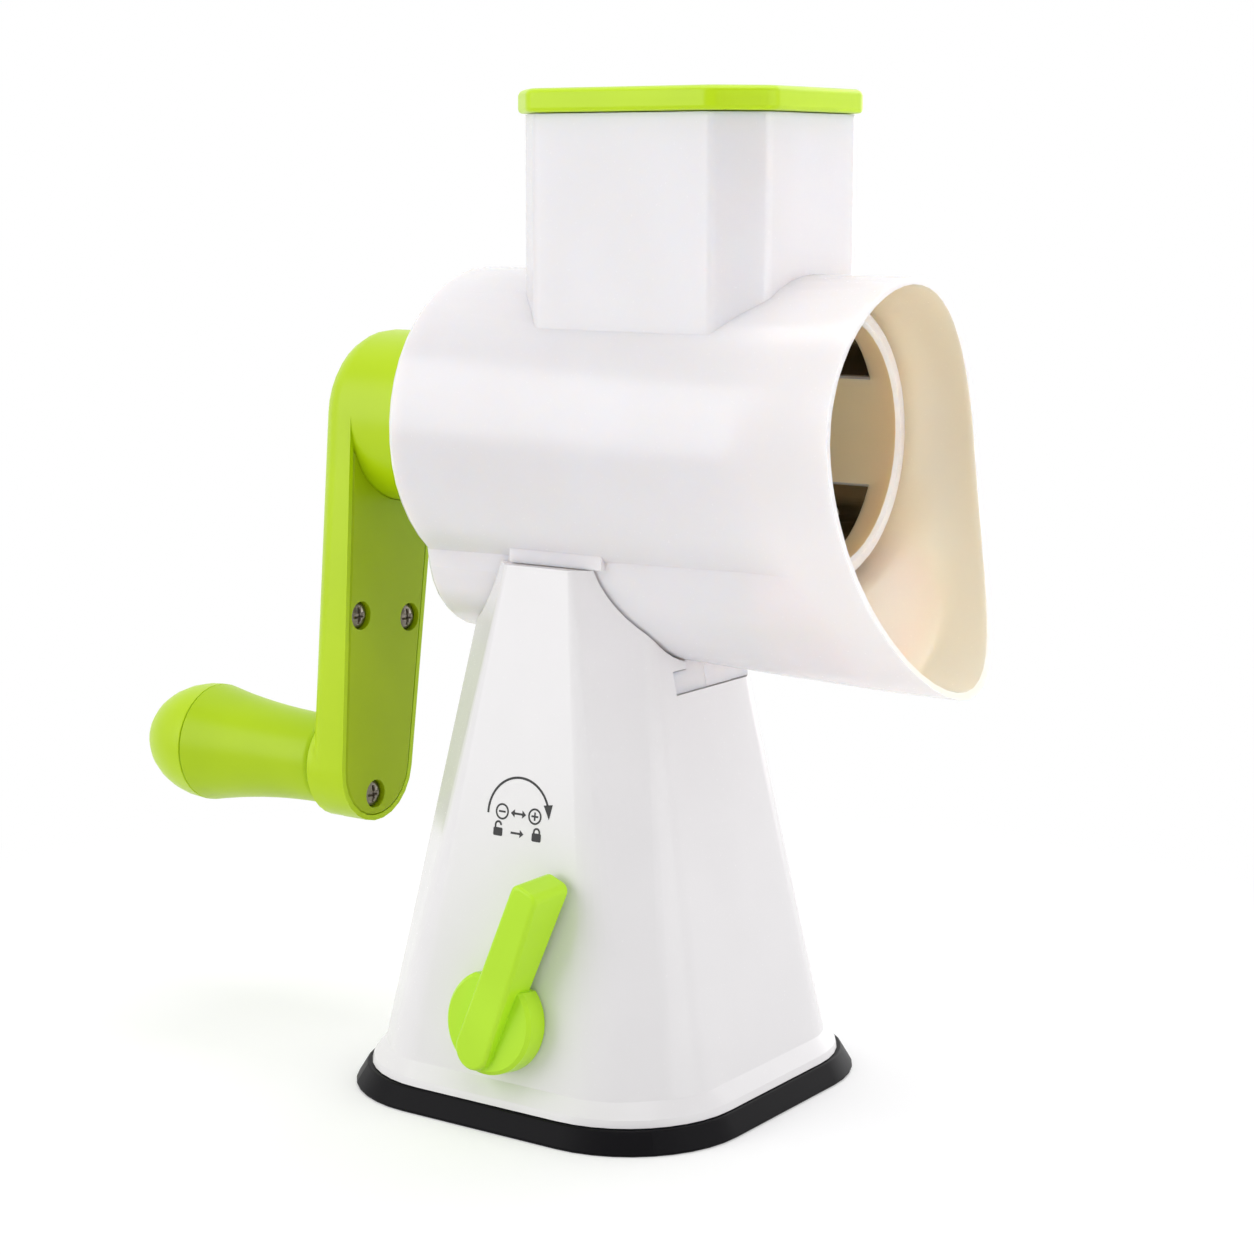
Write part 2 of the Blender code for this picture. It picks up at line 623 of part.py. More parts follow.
def bore_section(x, top_steps=36, low_steps=16):
    """Inside of the housing at x: the round drum chamber, which opens into the mouth."""
    start = DRUM_FRONT + 1.5 * MM
    blend = smooth_step(start, BLEND_END - 2 * MM, x)
    radius = HOUSING_RADIUS - HOUSING_WALL
    egg_half = MOUTH_HALF - MOUTH_WALL
    egg_up = AXIS_HEIGHT + HOUSING_RADIUS - MOUTH_MIDDLE - MOUTH_WALL
    egg_down = MOUTH_MIDDLE - MOUTH_BOTTOM - MOUTH_WALL
    count = top_steps + low_steps
    points = []
    for i in range(count):
        angle = 2 * math.pi * i / count
        reach = egg_up if math.sin(angle) > 0 else egg_down
        points.append(Vector((
            x,
            mix(radius, egg_half, blend) * math.cos(angle),
            mix(AXIS_HEIGHT + radius * math.sin(angle), MOUTH_MIDDLE + reach * math.sin(angle), blend),
        )))
    return points


def chute_section(z, inset=0.0, outset=0.0):
    """Outline of the feed chute, moved in or out."""
    move = outset - inset
    return rounded_section(
        CHUTE_LENGTH / 2 + move,
        CHUTE_WIDTH / 2 + move,
        CHUTE_CHAMFER + move * (2 - math.sqrt(2)),
        max(CHUTE_FILLET + move, 1.0 * MM),
        z,
        CHUTE_X,
        5,
    )


def bush_radius():
    """Outside radius of the bush that the crank's shaft turns in."""
    return SHAFT_RADIUS + RUNNING_GAP + BUSH_WALL


def make_housing(housing):
    """Drum chamber, feed chute, discharge mouth and slide, moulded in one piece."""
    stations = [HOUSING_LEFT, HOUSING_LEFT + 1 * MM, mix(HOUSING_LEFT, BLEND_START, 0.5), BLEND_START]
    stations += [mix(BLEND_START, BLEND_END, i / 8) for i in range(1, 9)]
    stations += [1.18 * BLEND_END]
    rings = [housing_section(x) for x in stations]
    rings[0] = housing_section(HOUSING_LEFT, 0.6 * MM)
    body = loft("drum_housing", rings)

    join(body, loft("chute", [chute_section(AXIS_HEIGHT + 5 * MM), chute_section(CHUTE_TOP)]))

    # Slide under the lobe, which ends at the leaning side of the tower
    root = TROUGH_RIGHT_BOTTOM + SLIDE_ROOT
    tee = [
        (-SLIDE_FLANGE_HALF, SLIDE_BOTTOM), (SLIDE_FLANGE_HALF, SLIDE_BOTTOM),
        (SLIDE_FLANGE_HALF, SLIDE_FLANGE_TOP), (SLIDE_NECK_HALF, SLIDE_FLANGE_TOP),
        (SLIDE_NECK_HALF, root), (-SLIDE_NECK_HALF, root),
        (-SLIDE_NECK_HALF, SLIDE_FLANGE_TOP), (-SLIDE_FLANGE_HALF, SLIDE_FLANGE_TOP),
    ]
    near = [Vector((SLIDE_LEFT, y, z)) for y, z in tee]
    end = [Vector((tower_half_x(z) - SLIDE_END_STEP, y, z)) for y, z in tee]
    join(body, loft("slide", [near, end]))
    low, high = SLIDE_BOTTOM + SLIDE_END_STEP, TROUGH_RIGHT_BOTTOM + SLIDE_END_ROOT
    left = tower_half_x(SLIDE_BOTTOM) - SLIDE_END_DEPTH
    plate = [(left, low), (tower_half_x(low), low), (tower_half_x(high), high), (left, high)]
    join(body, prism("end_plate", plate, 1 * MM, SLIDE_END_HALF))

    # Pads that rest on the tower's front and back rims
    for side in (-1, 1):
        low_y, high_y = sorted((side * (TROUGH_LEFT_HALF - REST_PAD_DEPTH), side * REST_PAD_HALF))
        pad_top = TOWER_RIM + REST_PAD_HEIGHT
        pad = box("pad", (REST_PAD_LEFT, low_y, TOWER_RIM + GAP), (REST_PAD_RIGHT, high_y, pad_top))
        join(body, pad)

    # Drum chamber and mouth
    chamber = [HOUSING_LEFT + END_WALL, DRUM_FRONT + 1.5 * MM]
    chamber += [mix(DRUM_FRONT + 1.5 * MM, BLEND_END - 2 * MM, i / 7) for i in range(1, 8)]
    chamber += [BLEND_END + 30 * MM]
    cut(body, loft("chamber", [bore_section(x) for x in chamber]))
    feed = [chute_section(AXIS_HEIGHT, CHUTE_WALL), chute_section(CHUTE_TOP + 10 * MM, CHUTE_WALL)]
    cut(body, loft("feed", feed))

    # The lobe is hollow and open at its left end
    inner_left = HOUSING_LEFT + END_WALL
    hollow = loft("hollow", [housing_section(x, HOUSING_WALL) for x in (inner_left, BLEND_START)])
    chamber_wall = [(-80 * MM, HOUSING_RADIUS), (120 * MM, HOUSING_RADIUS)]
    cut(hollow, turned("chamber_wall", chamber_wall, 52, (0, AXIS_HEIGHT)))
    opening = housing_section(HOUSING_LEFT + END_WALL, HOUSING_WALL)
    ends = (HOUSING_LEFT - 5 * MM, inner_left + 1 * MM)
    mouth_of_lobe = loft("mouth_of_lobe", [[Vector((x, p.y, p.z)) for p in opening] for x in ends])
    cut(mouth_of_lobe, turned("chamber_wall", chamber_wall, 52, (0, AXIS_HEIGHT)))
    cut(body, join(hollow, mouth_of_lobe))

    # Curved edge of the mouth, and the hole for the bush
    centre = (MOUTH_TIP + MOUTH_CURVE_RADIUS, MOUTH_CURVE_HEIGHT)
    steps = 120
    arc = []
    for i in range(steps):
        angle = 2 * math.pi * (i + 0.5) / steps
        across = MOUTH_CURVE_RADIUS * math.cos(angle)
        arc.append((centre[0] + across, centre[1] + MOUTH_CURVE_RADIUS * math.sin(angle)))
    cut(body, prism("mouth", arc, -60 * MM, 60 * MM))
    seat = bush_radius() + GAP
    hole = [(HOUSING_LEFT - 5 * MM, seat), (HOUSING_LEFT + END_WALL + 5 * MM, seat)]
    cut(body, turned("bush_hole", hole, ROUND_STEPS, (0, AXIS_HEIGHT)))
    return finish(body, housing, "white_abs", 28)


def make_bush(housing):
    """Flanged bush in the end wall."""
    bore = SHAFT_RADIUS + RUNNING_GAP
    outside = HOUSING_LEFT - 0.2 * MM
    inside = HOUSING_LEFT + END_WALL + GAP
    profile = [
        (outside, bore), (outside, bush_radius()), (inside, bush_radius()),
        (inside, bush_radius() + BUSH_FLANGE),
        (inside + BUSH_FLANGE_THICKNESS, bush_radius() + BUSH_FLANGE),
        (inside + BUSH_FLANGE_THICKNESS, bore),
    ]
    return finish(turned("axle_bush", profile, ROUND_STEPS, (0, AXIS_HEIGHT), True), housing, "natural_nylon")


def arm_screws():
    """Places (y, z) of the arm's three screws."""
    return [
        (ARM_SCREW_FRONT, -ARM_SCREW_DROP),
        (ARM_SCREW_BACK, -ARM_SCREW_DROP),
        (0.0, -ARM_LAST_SCREW_DROP),
    ]


def make_crank_arm(crank):
    """Hollow arm with a rounded outer edge, the hub towards the housing and the boss for the grip."""
    outer = ARM_INNER_FACE - ARM_THICKNESS
    rings = []
    steps = 6
    for i in range(steps):
        angle = math.pi / 2 * i / (steps - 1)
        inward, along = 1 - math.sin(angle), 1 - math.cos(angle)
        shift = (HUB_ROUNDING * along, ARM_ROUNDING * along)
        rings.append(arm_ring(outer, ARM_ROUNDING * inward, HUB_ROUNDING * inward, shift))
    rings.append(arm_ring(ARM_INNER_FACE, 0))

    # The upper part of the outline runs on as the round hub
    first, last = hub_angles(HUB_RADIUS, ARM_END_RADIUS)
    hub_end = HOUSING_LEFT - 0.8 * MM
    around = len(rings[0])
    upper = 25
    lower = around - upper
    hub = ((ARM_INNER_FACE, HUB_RADIUS), (hub_end - 0.8 * MM, HUB_RADIUS), (hub_end, HUB_RADIUS - 0.8 * MM))
    for x, radius in hub:
        angles = [mix(first, last, i / (upper - 1)) for i in range(upper)]
        angles += [mix(last, first + 2 * math.pi, (i + 1) / (lower + 1)) for i in range(lower)]
        rings.append([Vector((x, radius * math.cos(a), radius * math.sin(a))) for a in angles])
    arm = loft("crank_arm", rings)

    # Boss on the outer face, which the grip turns against
    end = outer - GRIP_BOSS_LENGTH
    boss = [
        (end, GRIP_BOSS_RADIUS - 1.2 * MM), (end + 1.2 * MM, GRIP_BOSS_RADIUS),
        (outer + ARM_ROUNDING, GRIP_BOSS_RADIUS),
    ]
    join(arm, turned("boss", boss, 32, (0, -CRANK_THROW)))

    # Recess for the cover, with posts for the screws and the pin left standing
    floor = outer + ARM_FLOOR
    recess = loft("recess", [
        arm_ring(floor, ARM_WALL + 2.2 * MM), arm_ring(floor + 3 * MM, ARM_WALL),
        arm_ring(ARM_INNER_FACE + 5 * MM, ARM_WALL),
    ])
    around_hub = [(outer - 5 * MM, HUB_RADIUS), (ARM_INNER_FACE + 10 * MM, HUB_RADIUS)]
    cut(recess, turned("hub", around_hub, ROUND_STEPS))
    seat = ARM_INNER_FACE - COVER_THICKNESS - GAP
    for y, z in arm_screws():
        cut(recess, turned("post", [(floor - 2 * MM, 3.6 * MM), (seat, 3.6 * MM)], 16, (y, z)))
    cut(recess, turned("pin_post", [(floor - 2 * MM, 7.5 * MM), (seat, 7.5 * MM)], 24, (0, -CRANK_THROW)))
    cut(arm, recess)
    for y, z in arm_screws():
        shank = SCREW_SHANK_RADIUS + GAP
        cut(arm, turned("pilot", [(outer + 1.4 * MM, shank), (ARM_INNER_FACE, shank)], 12, (y, z)))
    pin = GRIP_PIN_RADIUS + GAP
    cut(arm, turned("pin_hole", [(end - 5 * MM, pin), (seat - 2 * MM, pin)], SMALL_STEPS, (0, -CRANK_THROW)))
    socket = SHAFT_RADIUS + GAP
    cut(arm, turned("socket", [(hub_end - SHAFT_SOCKET_DEPTH - GAP, socket), (hub_end + 5 * MM, socket)], 32))
    return finish(arm, crank, "green_abs", 34)


def make_crank_cover(crank):
    """Flat cover let into the inner side of the arm, with wells for the screws."""
    back = ARM_INNER_FACE - COVER_THICKNESS
    inset = ARM_WALL + GAP
    cover = loft("crank_cover", [
        arm_ring(back, inset), arm_ring(ARM_INNER_FACE - 0.4 * MM, inset),
        arm_ring(ARM_INNER_FACE, inset + 0.4 * MM),
    ])
    bore = HUB_RADIUS + GAP
    cut(cover, turned("hub", [(back - 5 * MM, bore), (ARM_INNER_FACE + 5 * MM, bore)], ROUND_STEPS))
    for y, z in arm_screws():
        ends = (ARM_INNER_FACE - SCREW_WELL_DEPTH, ARM_INNER_FACE + 2 * MM)
        cut(cover, turned("well", [(x, SCREW_WELL_RADIUS) for x in ends], 24, (y, z)))
        shank = SCREW_SHANK_RADIUS + GAP
        cut(cover, turned("hole", [(back - 2 * MM, shank), (ARM_INNER_FACE, shank)], 12, (y, z)))
    return finish(cover, crank, "green_abs", 30)


def screw(name, seat, centre, steps=SMALL_STEPS):
    """A pan head screw along -X from its seat, with a cross in its head."""
    head = SCREW_HEAD_RADIUS
    profile = [
        (seat - SCREW_LENGTH, SCREW_SHANK_RADIUS * 0.4), (seat - SCREW_LENGTH + 1.2 * MM, SCREW_SHANK_RADIUS),
        (seat, SCREW_SHANK_RADIUS), (seat, head), (seat + SCREW_HEAD_HEIGHT * 0.45, head),
        (seat + SCREW_HEAD_HEIGHT * 0.85, head * 0.78), (seat + SCREW_HEAD_HEIGHT, head * 0.4),
    ]
    made = turned(name, profile, steps, centre)
    top = seat + SCREW_HEAD_HEIGHT
    y, z = centre
    long_arm, short_arm = head * 0.58, CROSS_WIDTH / 2
    low, high = top - 1.1 * MM, top + 1 * MM
    cross = box("cross", (low, y - long_arm, z - short_arm), (high, y + long_arm, z + short_arm))
    join(cross, box("arm", (low, y - short_arm, z - long_arm), (high, y + short_arm, z + long_arm)))
    return cut(made, cross)


def merge(name, pieces):
    """Several separate tools as one."""
    bm = bmesh.new()
    for piece in pieces:
        bm.from_mesh(piece.data)
        bpy.data.objects.remove(piece)
    return new_object(name, bm)


def make_arm_screws(crank):
    """The three screws that hold the cover."""
    seat = ARM_INNER_FACE - SCREW_WELL_DEPTH + GAP
    for index, place in enumerate(arm_screws()):
        finish(screw(f"crank_screw_{index + 1}", seat, place), crank, "bright_steel")


def make_drive_shaft(crank):
    """Round shaft through the bush, with a hexagon that drives the drum."""
    start = HOUSING_LEFT - 0.8 * MM - SHAFT_SOCKET_DEPTH
    round_end = DRUM_LEFT - 1.0 * MM
    steps = 36
    hexagon = SHAFT_HEX_FLATS / 2
    def round_ring(x, radius):
        return circle(x, radius, steps, start=CRANK_TILT)
    def hex_ring(x, shrink=1.0):
        ring = []
        for i in range(steps):
            angle = 2 * math.pi * i / steps
            within = (angle + math.pi / 6) % (math.pi / 3) - math.pi / 6
            radius = hexagon * shrink / math.cos(within)
            turn = angle + CRANK_TILT
            ring.append(Vector((x, radius * math.cos(turn), radius * math.sin(turn))))
        return ring
    clip = clip_place()
    groove = SHAFT_RADIUS - 1.2 * MM
    clip_end = clip + CLIP_THICKNESS + GAP
    rings = [round_ring(start, SHAFT_RADIUS), round_ring(clip - GAP, SHAFT_RADIUS)]
    rings += [round_ring(clip - GAP, groove), round_ring(clip_end, groove)]
    rings += [round_ring(clip_end, SHAFT_RADIUS), round_ring(round_end, SHAFT_RADIUS)]
    rings += [hex_ring(round_end), hex_ring(SHAFT_END - 1 * MM), hex_ring(SHAFT_END, 0.86)]
    return finish(loft("drive_shaft", rings), crank, "bright_steel")


def clip_place():
    """Left face of the clip, just inside the bush."""
    return HOUSING_LEFT + END_WALL + GAP + BUSH_FLANGE_THICKNESS + GAP


def make_shaft_clip(crank):
    """Open spring clip in the shaft's groove, which keeps the crank in the housing."""
    x = clip_place()
    inner = SHAFT_RADIUS - 1.2 * MM + GAP
    outer = inner + CLIP_WIDTH
    steps = 26
    opening = math.radians(50)
    outline = []
    for radius, order in ((outer, range(steps + 1)), (inner, range(steps, -1, -1))):
        for i in order:
            angle = opening / 2 + (2 * math.pi - opening) * i / steps
            outline.append((radius * math.cos(angle), radius * math.sin(angle)))
    clip = loft("shaft_clip", [[Vector((a, y, z)) for y, z in outline] for a in (x, x + CLIP_THICKNESS)])
    return finish(clip, crank, "bright_steel")


def grip_start():
    """Where the grip's neck starts, seen from the arm."""
    return ARM_INNER_FACE - ARM_THICKNESS - GRIP_BOSS_LENGTH - GRIP_GAP


def grip_end():
    """Where the grip's sleeve ends and its cap starts."""
    return grip_start() - GRIP_LENGTH


def make_grip_pin(crank):
    """Pin that the grip turns on, with its head inside the cap."""
    seat = ARM_INNER_FACE - COVER_THICKNESS - GAP
    head = grip_end() + GRIP_WELL_DEPTH - GAP
    profile = [
        (head - GRIP_PIN_HEAD, GRIP_PIN_HEAD_RADIUS * 0.7),
        (head - GRIP_PIN_HEAD * 0.4, GRIP_PIN_HEAD_RADIUS),
        (head, GRIP_PIN_HEAD_RADIUS), (head, GRIP_PIN_RADIUS), (seat - 2.4 * MM, GRIP_PIN_RADIUS),
    ]
    return finish(turned("grip_pin", profile, SMALL_STEPS), crank, "bright_steel")


def make_grip(grip):
    """Flared sleeve that turns on the pin."""
    start, end = grip_start(), grip_end()
    outside = []
    for i in range(4):
        angle = math.pi / 2 * i / 4
        inward, along = 1 - math.sin(angle), 1 - math.cos(angle)
        outside.append((start - GRIP_NECK_ROUNDING * along, GRIP_NECK_RADIUS - GRIP_NECK_ROUNDING * inward))
    steps = 9
    for i in range(steps + 1):
        share = i / steps
        x = mix(start - GRIP_NECK_ROUNDING, end, share)
        outside.append((x, mix(GRIP_NECK_RADIUS, GRIP_RADIUS, share ** 2)))
    well = GRIP_CAP_SPIGOT_RADIUS + GAP
    bore = GRIP_PIN_RADIUS + RUNNING_GAP
    profile = [(start, bore)] + outside
    profile += [(end, well), (end + GRIP_WELL_DEPTH, well), (end + GRIP_WELL_DEPTH, bore)]
    return finish(turned("grip_sleeve", profile, 36, (0, 0), True), grip, "green_abs", 34)


def make_grip_cap(grip):
    """Domed cap pressed into the sleeve's end."""
    start = grip_end() - GAP
    steps = 8
    profile = []
    for i in range(steps + 1):
        angle = math.pi / 2 * i / steps
        profile.append((start - GRIP_CAP_LENGTH * math.cos(angle), GRIP_RADIUS * math.sin(angle)))
    profile += [(start, GRIP_CAP_SPIGOT_RADIUS), (start + GRIP_CAP_SPIGOT, GRIP_CAP_SPIGOT_RADIUS)]
    profile.append((start + GRIP_CAP_SPIGOT, GRIP_CAP_SPIGOT_RADIUS - 2 * MM))
    profile.append((start - 6 * MM, GRIP_CAP_SPIGOT_RADIUS - 3 * MM))
    return finish(turned("grip_cap", profile, 36), grip, "green_abs", 34)


def make_drum_cage(drum):
    """Plastic cage of the drum: a front ring, ribs and a back wall with the hexagon socket."""
    ring_back = DRUM_FRONT - DRUM_RING_LENGTH
    profile = [
        (DRUM_LEFT, DRUM_WALL_OUTER - 1 * MM), (DRUM_LEFT + 1 * MM, DRUM_WALL_OUTER),
        (ring_back, DRUM_WALL_OUTER),
        (ring_back + 1 * MM, DRUM_RING_RADIUS), (DRUM_FRONT - 1.2 * MM, DRUM_RING_RADIUS),
        (DRUM_FRONT, DRUM_RING_RADIUS - 1.2 * MM), (DRUM_FRONT, DRUM_RING_BORE + 1.0 * MM),
        (DRUM_FRONT - 1.0 * MM, DRUM_RING_BORE), (ring_back, DRUM_WALL_INNER),
        (DRUM_LEFT + DRUM_END_WALL, DRUM_WALL_INNER),
    ]
    hub_end = DRUM_LEFT + DRUM_HUB_LENGTH
    profile += [
        (DRUM_LEFT + DRUM_END_WALL, DRUM_HUB_RADIUS),
        (hub_end - 1 * MM, DRUM_HUB_RADIUS - 0.6 * MM), (hub_end, DRUM_HUB_RADIUS - 1.6 * MM),
    ]
    cage = turned("drum_cage", profile, 54)
    hexagon = SHAFT_HEX_FLATS / 2 + RUNNING_GAP
    corner = hexagon / math.cos(math.pi / 6)
    turns = [math.pi / 3 * i + math.pi / 6 for i in range(6)]
    ring = [(corner * math.cos(turn), corner * math.sin(turn)) for turn in turns]
    ends = (DRUM_LEFT - 5 * MM, hub_end + 5 * MM)
    cut(cage, loft("socket", [[Vector((x, y, z)) for y, z in ring] for x in ends]))
    for i in range(DRUM_RIBS):
        cut(cage, window(i))
    return finish(cage, drum, "white_abs", 30)


def window_limits():
    """Angles that a window spans from its middle, and its two ends along X."""
    half = math.pi / DRUM_RIBS - RIB_HALF_ANGLE
    return half, DRUM_LEFT + DRUM_END_WALL + 4 * MM, DRUM_FRONT - DRUM_RING_LENGTH


def window_middle(index):
    """Direction of a window's middle, so that a rib faces straight back."""
    return math.pi / DRUM_RIBS + 2 * math.pi * index / DRUM_RIBS


def curved_slab(name, index, inner, outer, shrink, steps=BLADE_STEPS):
    """A slab bent round the drum's axis, over one window less a gap all round."""
    half, left, right = window_limits()
    middle = window_middle(index)
    rings = []
    for i in range(steps + 1):
        angle = middle - half + shrink / inner + (2 * half - 2 * shrink / inner) * i / steps
        rings.append([
            Vector((x, radius * math.cos(angle), radius * math.sin(angle)))
            for x, radius in (
                (left + shrink, inner), (right - shrink, inner),
                (right - shrink, outer), (left + shrink, outer),
            )
        ])
    return loft(name, rings)


def window(index):
    """Cutter for one window of the cage."""
    return curved_slab("window", index, DRUM_WALL_INNER - 4 * MM, DRUM_RING_RADIUS + 4 * MM, 0)


def make_blade(drum, index):
    """Curved steel plate in one window, with its cutting holes."""
    blade = curved_slab(f"blade_plate_{index + 1}", index, BLADE_OUTER - BLADE_THICKNESS, BLADE_OUTER, GAP)
    half, left, right = window_limits()
    tools = []
    for row in range(BLADE_ROWS):
        angle = window_middle(index) + half * 1.3 * ((row + 0.5) / BLADE_ROWS - 0.5) * 1.25
        for column in range(BLADE_COLUMNS):
            stagger = 0.25 if row % 2 else -0.25
            x = mix(left, right, (column + 0.75 + stagger) / (BLADE_COLUMNS + 0.5))
            rings = []
            for radius in (BLADE_OUTER - 5 * MM, BLADE_OUTER + 5 * MM):
                ring = []
                for i in range(8):
                    turn = math.pi / 4 * i
                    side = BLADE_HOLE_RADIUS * math.sin(turn)
                    along = BLADE_HOLE_RADIUS * math.cos(turn)
                    ring.append(Vector((
                        x + along,
                        radius * math.cos(angle) - side * math.sin(angle),
                        radius * math.sin(angle) + side * math.cos(angle),
                    )))
                rings.append(ring)
            tools.append(loft("hole", rings))
    cut(blade, merge("holes", tools))
    return finish(blade, drum, "blade_steel", 30)


def make_pusher_cap(pusher):
    """Flat lid on the pusher, which stops it on the chute's rim."""
    low = CHUTE_TOP + GAP
    top = low + CAP_THICKNESS
    rings = [
        chute_section(low, outset=CAP_OVERHANG - 0.7 * MM),
        chute_section(low + 0.7 * MM, outset=CAP_OVERHANG),
        chute_section(top - 1.6 * MM, outset=CAP_OVERHANG),
        chute_section(top - 0.5 * MM, outset=CAP_OVERHANG - 0.5 * MM),
        chute_section(top, outset=CAP_OVERHANG - 1.8 * MM),
    ]
    return finish(loft("pusher_cap", rings), pusher, "green_abs", 40)


def make_pusher_body(pusher):
    """Open box that fills the chute under the lid, with ribs that hold the food."""
    outside = CHUTE_WALL + PUSHER_PLAY
    body = loft("pusher_body", [chute_section(PUSHER_BOTTOM, outside), chute_section(CHUTE_TOP, outside)])
    inside = outside + PUSHER_WALL
    floor = PUSHER_BOTTOM + PUSHER_WALL
    cut(body, loft("hollow", [chute_section(z, inside) for z in (floor, CHUTE_TOP + 5 * MM)]))
    reach = CHUTE_WIDTH / 2 - outside - PUSHER_RIB_SHORT
    count = 6
    for i in range(count):
        x = CHUTE_X + (CHUTE_LENGTH / 2 - PUSHER_RIB_MARGIN) * (2 * i / (count - 1) - 1)
        low, high = PUSHER_BOTTOM - PUSHER_RIB, PUSHER_BOTTOM + 1 * MM
        rib = box("rib", (x - 1 * MM, -reach, low), (x + 1 * MM, reach, high))
        join(body, rib)
    return finish(body, pusher, "white_abs", 30)


def bar_outline(inset, longer=0.0):
    """Outline of the lever's bar: a round lower end and two round corners at the top."""
    low, top = LEVER_BAR_LOW_HALF - inset, LEVER_BAR_TOP_HALF - inset
    end = -LEVER_BAR_BOTTOM + LEVER_BAR_LOW_HALF
    peak = LEVER_BAR_TOP + longer - inset
    corner = LEVER_BAR_CORNER - inset / 2
    points = []
    for i in range(13):
        angle = math.pi + math.pi * i / 12
        points.append((low * math.cos(angle), end + low * math.sin(angle)))
    for centre_x, start in ((top - corner, 0.0), (corner - top, math.pi / 2)):
        for i in range(6):
            angle = start + math.pi / 2 * i / 5
            points.append((centre_x + corner * math.cos(angle), peak - corner + corner * math.sin(angle)))
    return points


def make_lever_knob(lever):
    """Round knob and its bar. In the lever's own frame +Y runs along the bar and +Z out of the wall."""
    steps = 44
    chord = math.acos(LEVER_FLAT / LEVER_DISC_RADIUS)
    middle = math.pi / 2 + LEVER_FLAT_TURN
    rings = []
    levels = (
        (GAP, 0.5 * MM), (GAP + 0.5 * MM, 0),
        (LEVER_DISC_THICKNESS - 1 * MM, 0), (LEVER_DISC_THICKNESS, 1 * MM),
    )
    for z, shrink in levels:
        radius = LEVER_DISC_RADIUS - shrink
        ring = []
        for i in range(steps):
            # The arc leaves out the flat at the top
            angle = mix(middle + chord, middle + 2 * math.pi - chord, i / (steps - 1))
            ring.append(Vector((radius * math.cos(angle), radius * math.sin(angle), z)))
        rings.append(ring)
    knob = loft("lever_knob", rings)

    rings = []
    for z, inset in ((LEVER_BAR_BACK, 0.5 * MM), (LEVER_BAR_BACK + 0.5 * MM, 0)):
        rings.append([Vector((x, y, z)) for x, y in bar_outline(inset, LEVER_BAR_BACK_LONGER)])
    steps = 3
    for i in range(steps + 1):
        angle = math.pi / 2 * i / steps
        inset, drop = LEVER_BAR_EDGE * (1 - math.cos(angle)), LEVER_BAR_EDGE * (1 - math.sin(angle))
        level = LEVER_BAR_FRONT - drop
        rings.append([Vector((x, y, level + LEVER_BAR_RISE * y)) for x, y in bar_outline(inset)])
    join(knob, loft("bar", rings))
    socket = CAM_SHAFT_RADIUS + GAP
    cut(knob, upright("socket", [(-5 * MM, socket), (7 * MM + GAP, socket)], SMALL_STEPS))
    return finish(knob, lever, "green_abs", 34)


def make_cam_shaft(lever):
    """Shaft from the knob to the back bracket, with the cam that works the pull rod."""
    def ring(z, radius, offset=(0.0, 0.0)):
        turns = [2 * math.pi * i / 24 for i in range(24)]
        return [
            Vector((offset[0] + radius * math.cos(turn), offset[1] + radius * math.sin(turn), z))
            for turn in turns
        ]
    # The cam points up and to the left of the wall's own axes when the lever is locked
    angle = math.radians(135) + LEVER_TILT
    offset = (CAM_THROW * math.cos(angle), CAM_THROW * math.sin(angle))
    shaft = loft("cam_shaft", [ring(-CAM_SHAFT_LENGTH, CAM_SHAFT_RADIUS), ring(7 * MM, CAM_SHAFT_RADIUS)])
    ends = (-CAM_DEPTH - CAM_THICKNESS / 2, -CAM_DEPTH + CAM_THICKNESS / 2)
    cam = loft("cam", [ring(z, CAM_RADIUS, offset) for z in ends])
    return finish(join(shaft, cam), lever, "bright_steel")


def cam_axis_height():
    """Height of the shaft's axis where the cam is."""
    return LEVER_HEIGHT - CAM_DEPTH * math.sin(wall_lean())


def cam_axis_y():
    """Distance of the cam's middle from the front, along Y."""
    return -tower_half_y(LEVER_HEIGHT) + CAM_DEPTH * math.cos(wall_lean())


def make_pull_rod(rod):
    """Yoke round the cam, on a foot that is bonded to the pad. Its frame has its origin on the cam's axis."""
    half_x = CAM_RADIUS + CAM_THROW + RUNNING_GAP
    lift = CAM_THROW * math.sin(math.radians(135))
    low = lift - CAM_RADIUS - RUNNING_GAP
    high = lift + CAM_RADIUS + RUNNING_GAP
    thick = YOKE_THICKNESS / 2
    outer = half_x + YOKE_WALL
    yoke = box("pull_rod", (-outer, -thick, low - YOKE_WALL), (outer, thick, high + YOKE_WALL))
    # The window leans with the shaft
    slope = math.tan(wall_lean())
    reach = 10 * MM
    slant = loft("window", [
        [
            Vector((x, y, z - slope * y))
            for x, z in ((-half_x, low), (half_x, low), (half_x, high), (-half_x, high))
        ]
        for y in (-reach, reach)
    ])
    cut(yoke, slant)
    foot = PAD_SHEET_UNDERSIDE + PAD_DOME + PAD_SHEET + GAP - cam_axis_height()
    foot_top = foot + ROD_FOOT_THICKNESS
    stem_ends = (foot_top - 0.5 * MM, low - YOKE_WALL + 1 * MM)
    stem = upright("stem", [(z, 4 * MM) for z in stem_ends], SMALL_STEPS)
    disc = upright("disc", [(foot, ROD_FOOT_RADIUS - 0.8 * MM), (foot_top, ROD_FOOT_RADIUS - 1.2 * MM)], 36)
    join(stem, disc)
    return finish(join(yoke, stem), rod, "natural_nylon", 30)


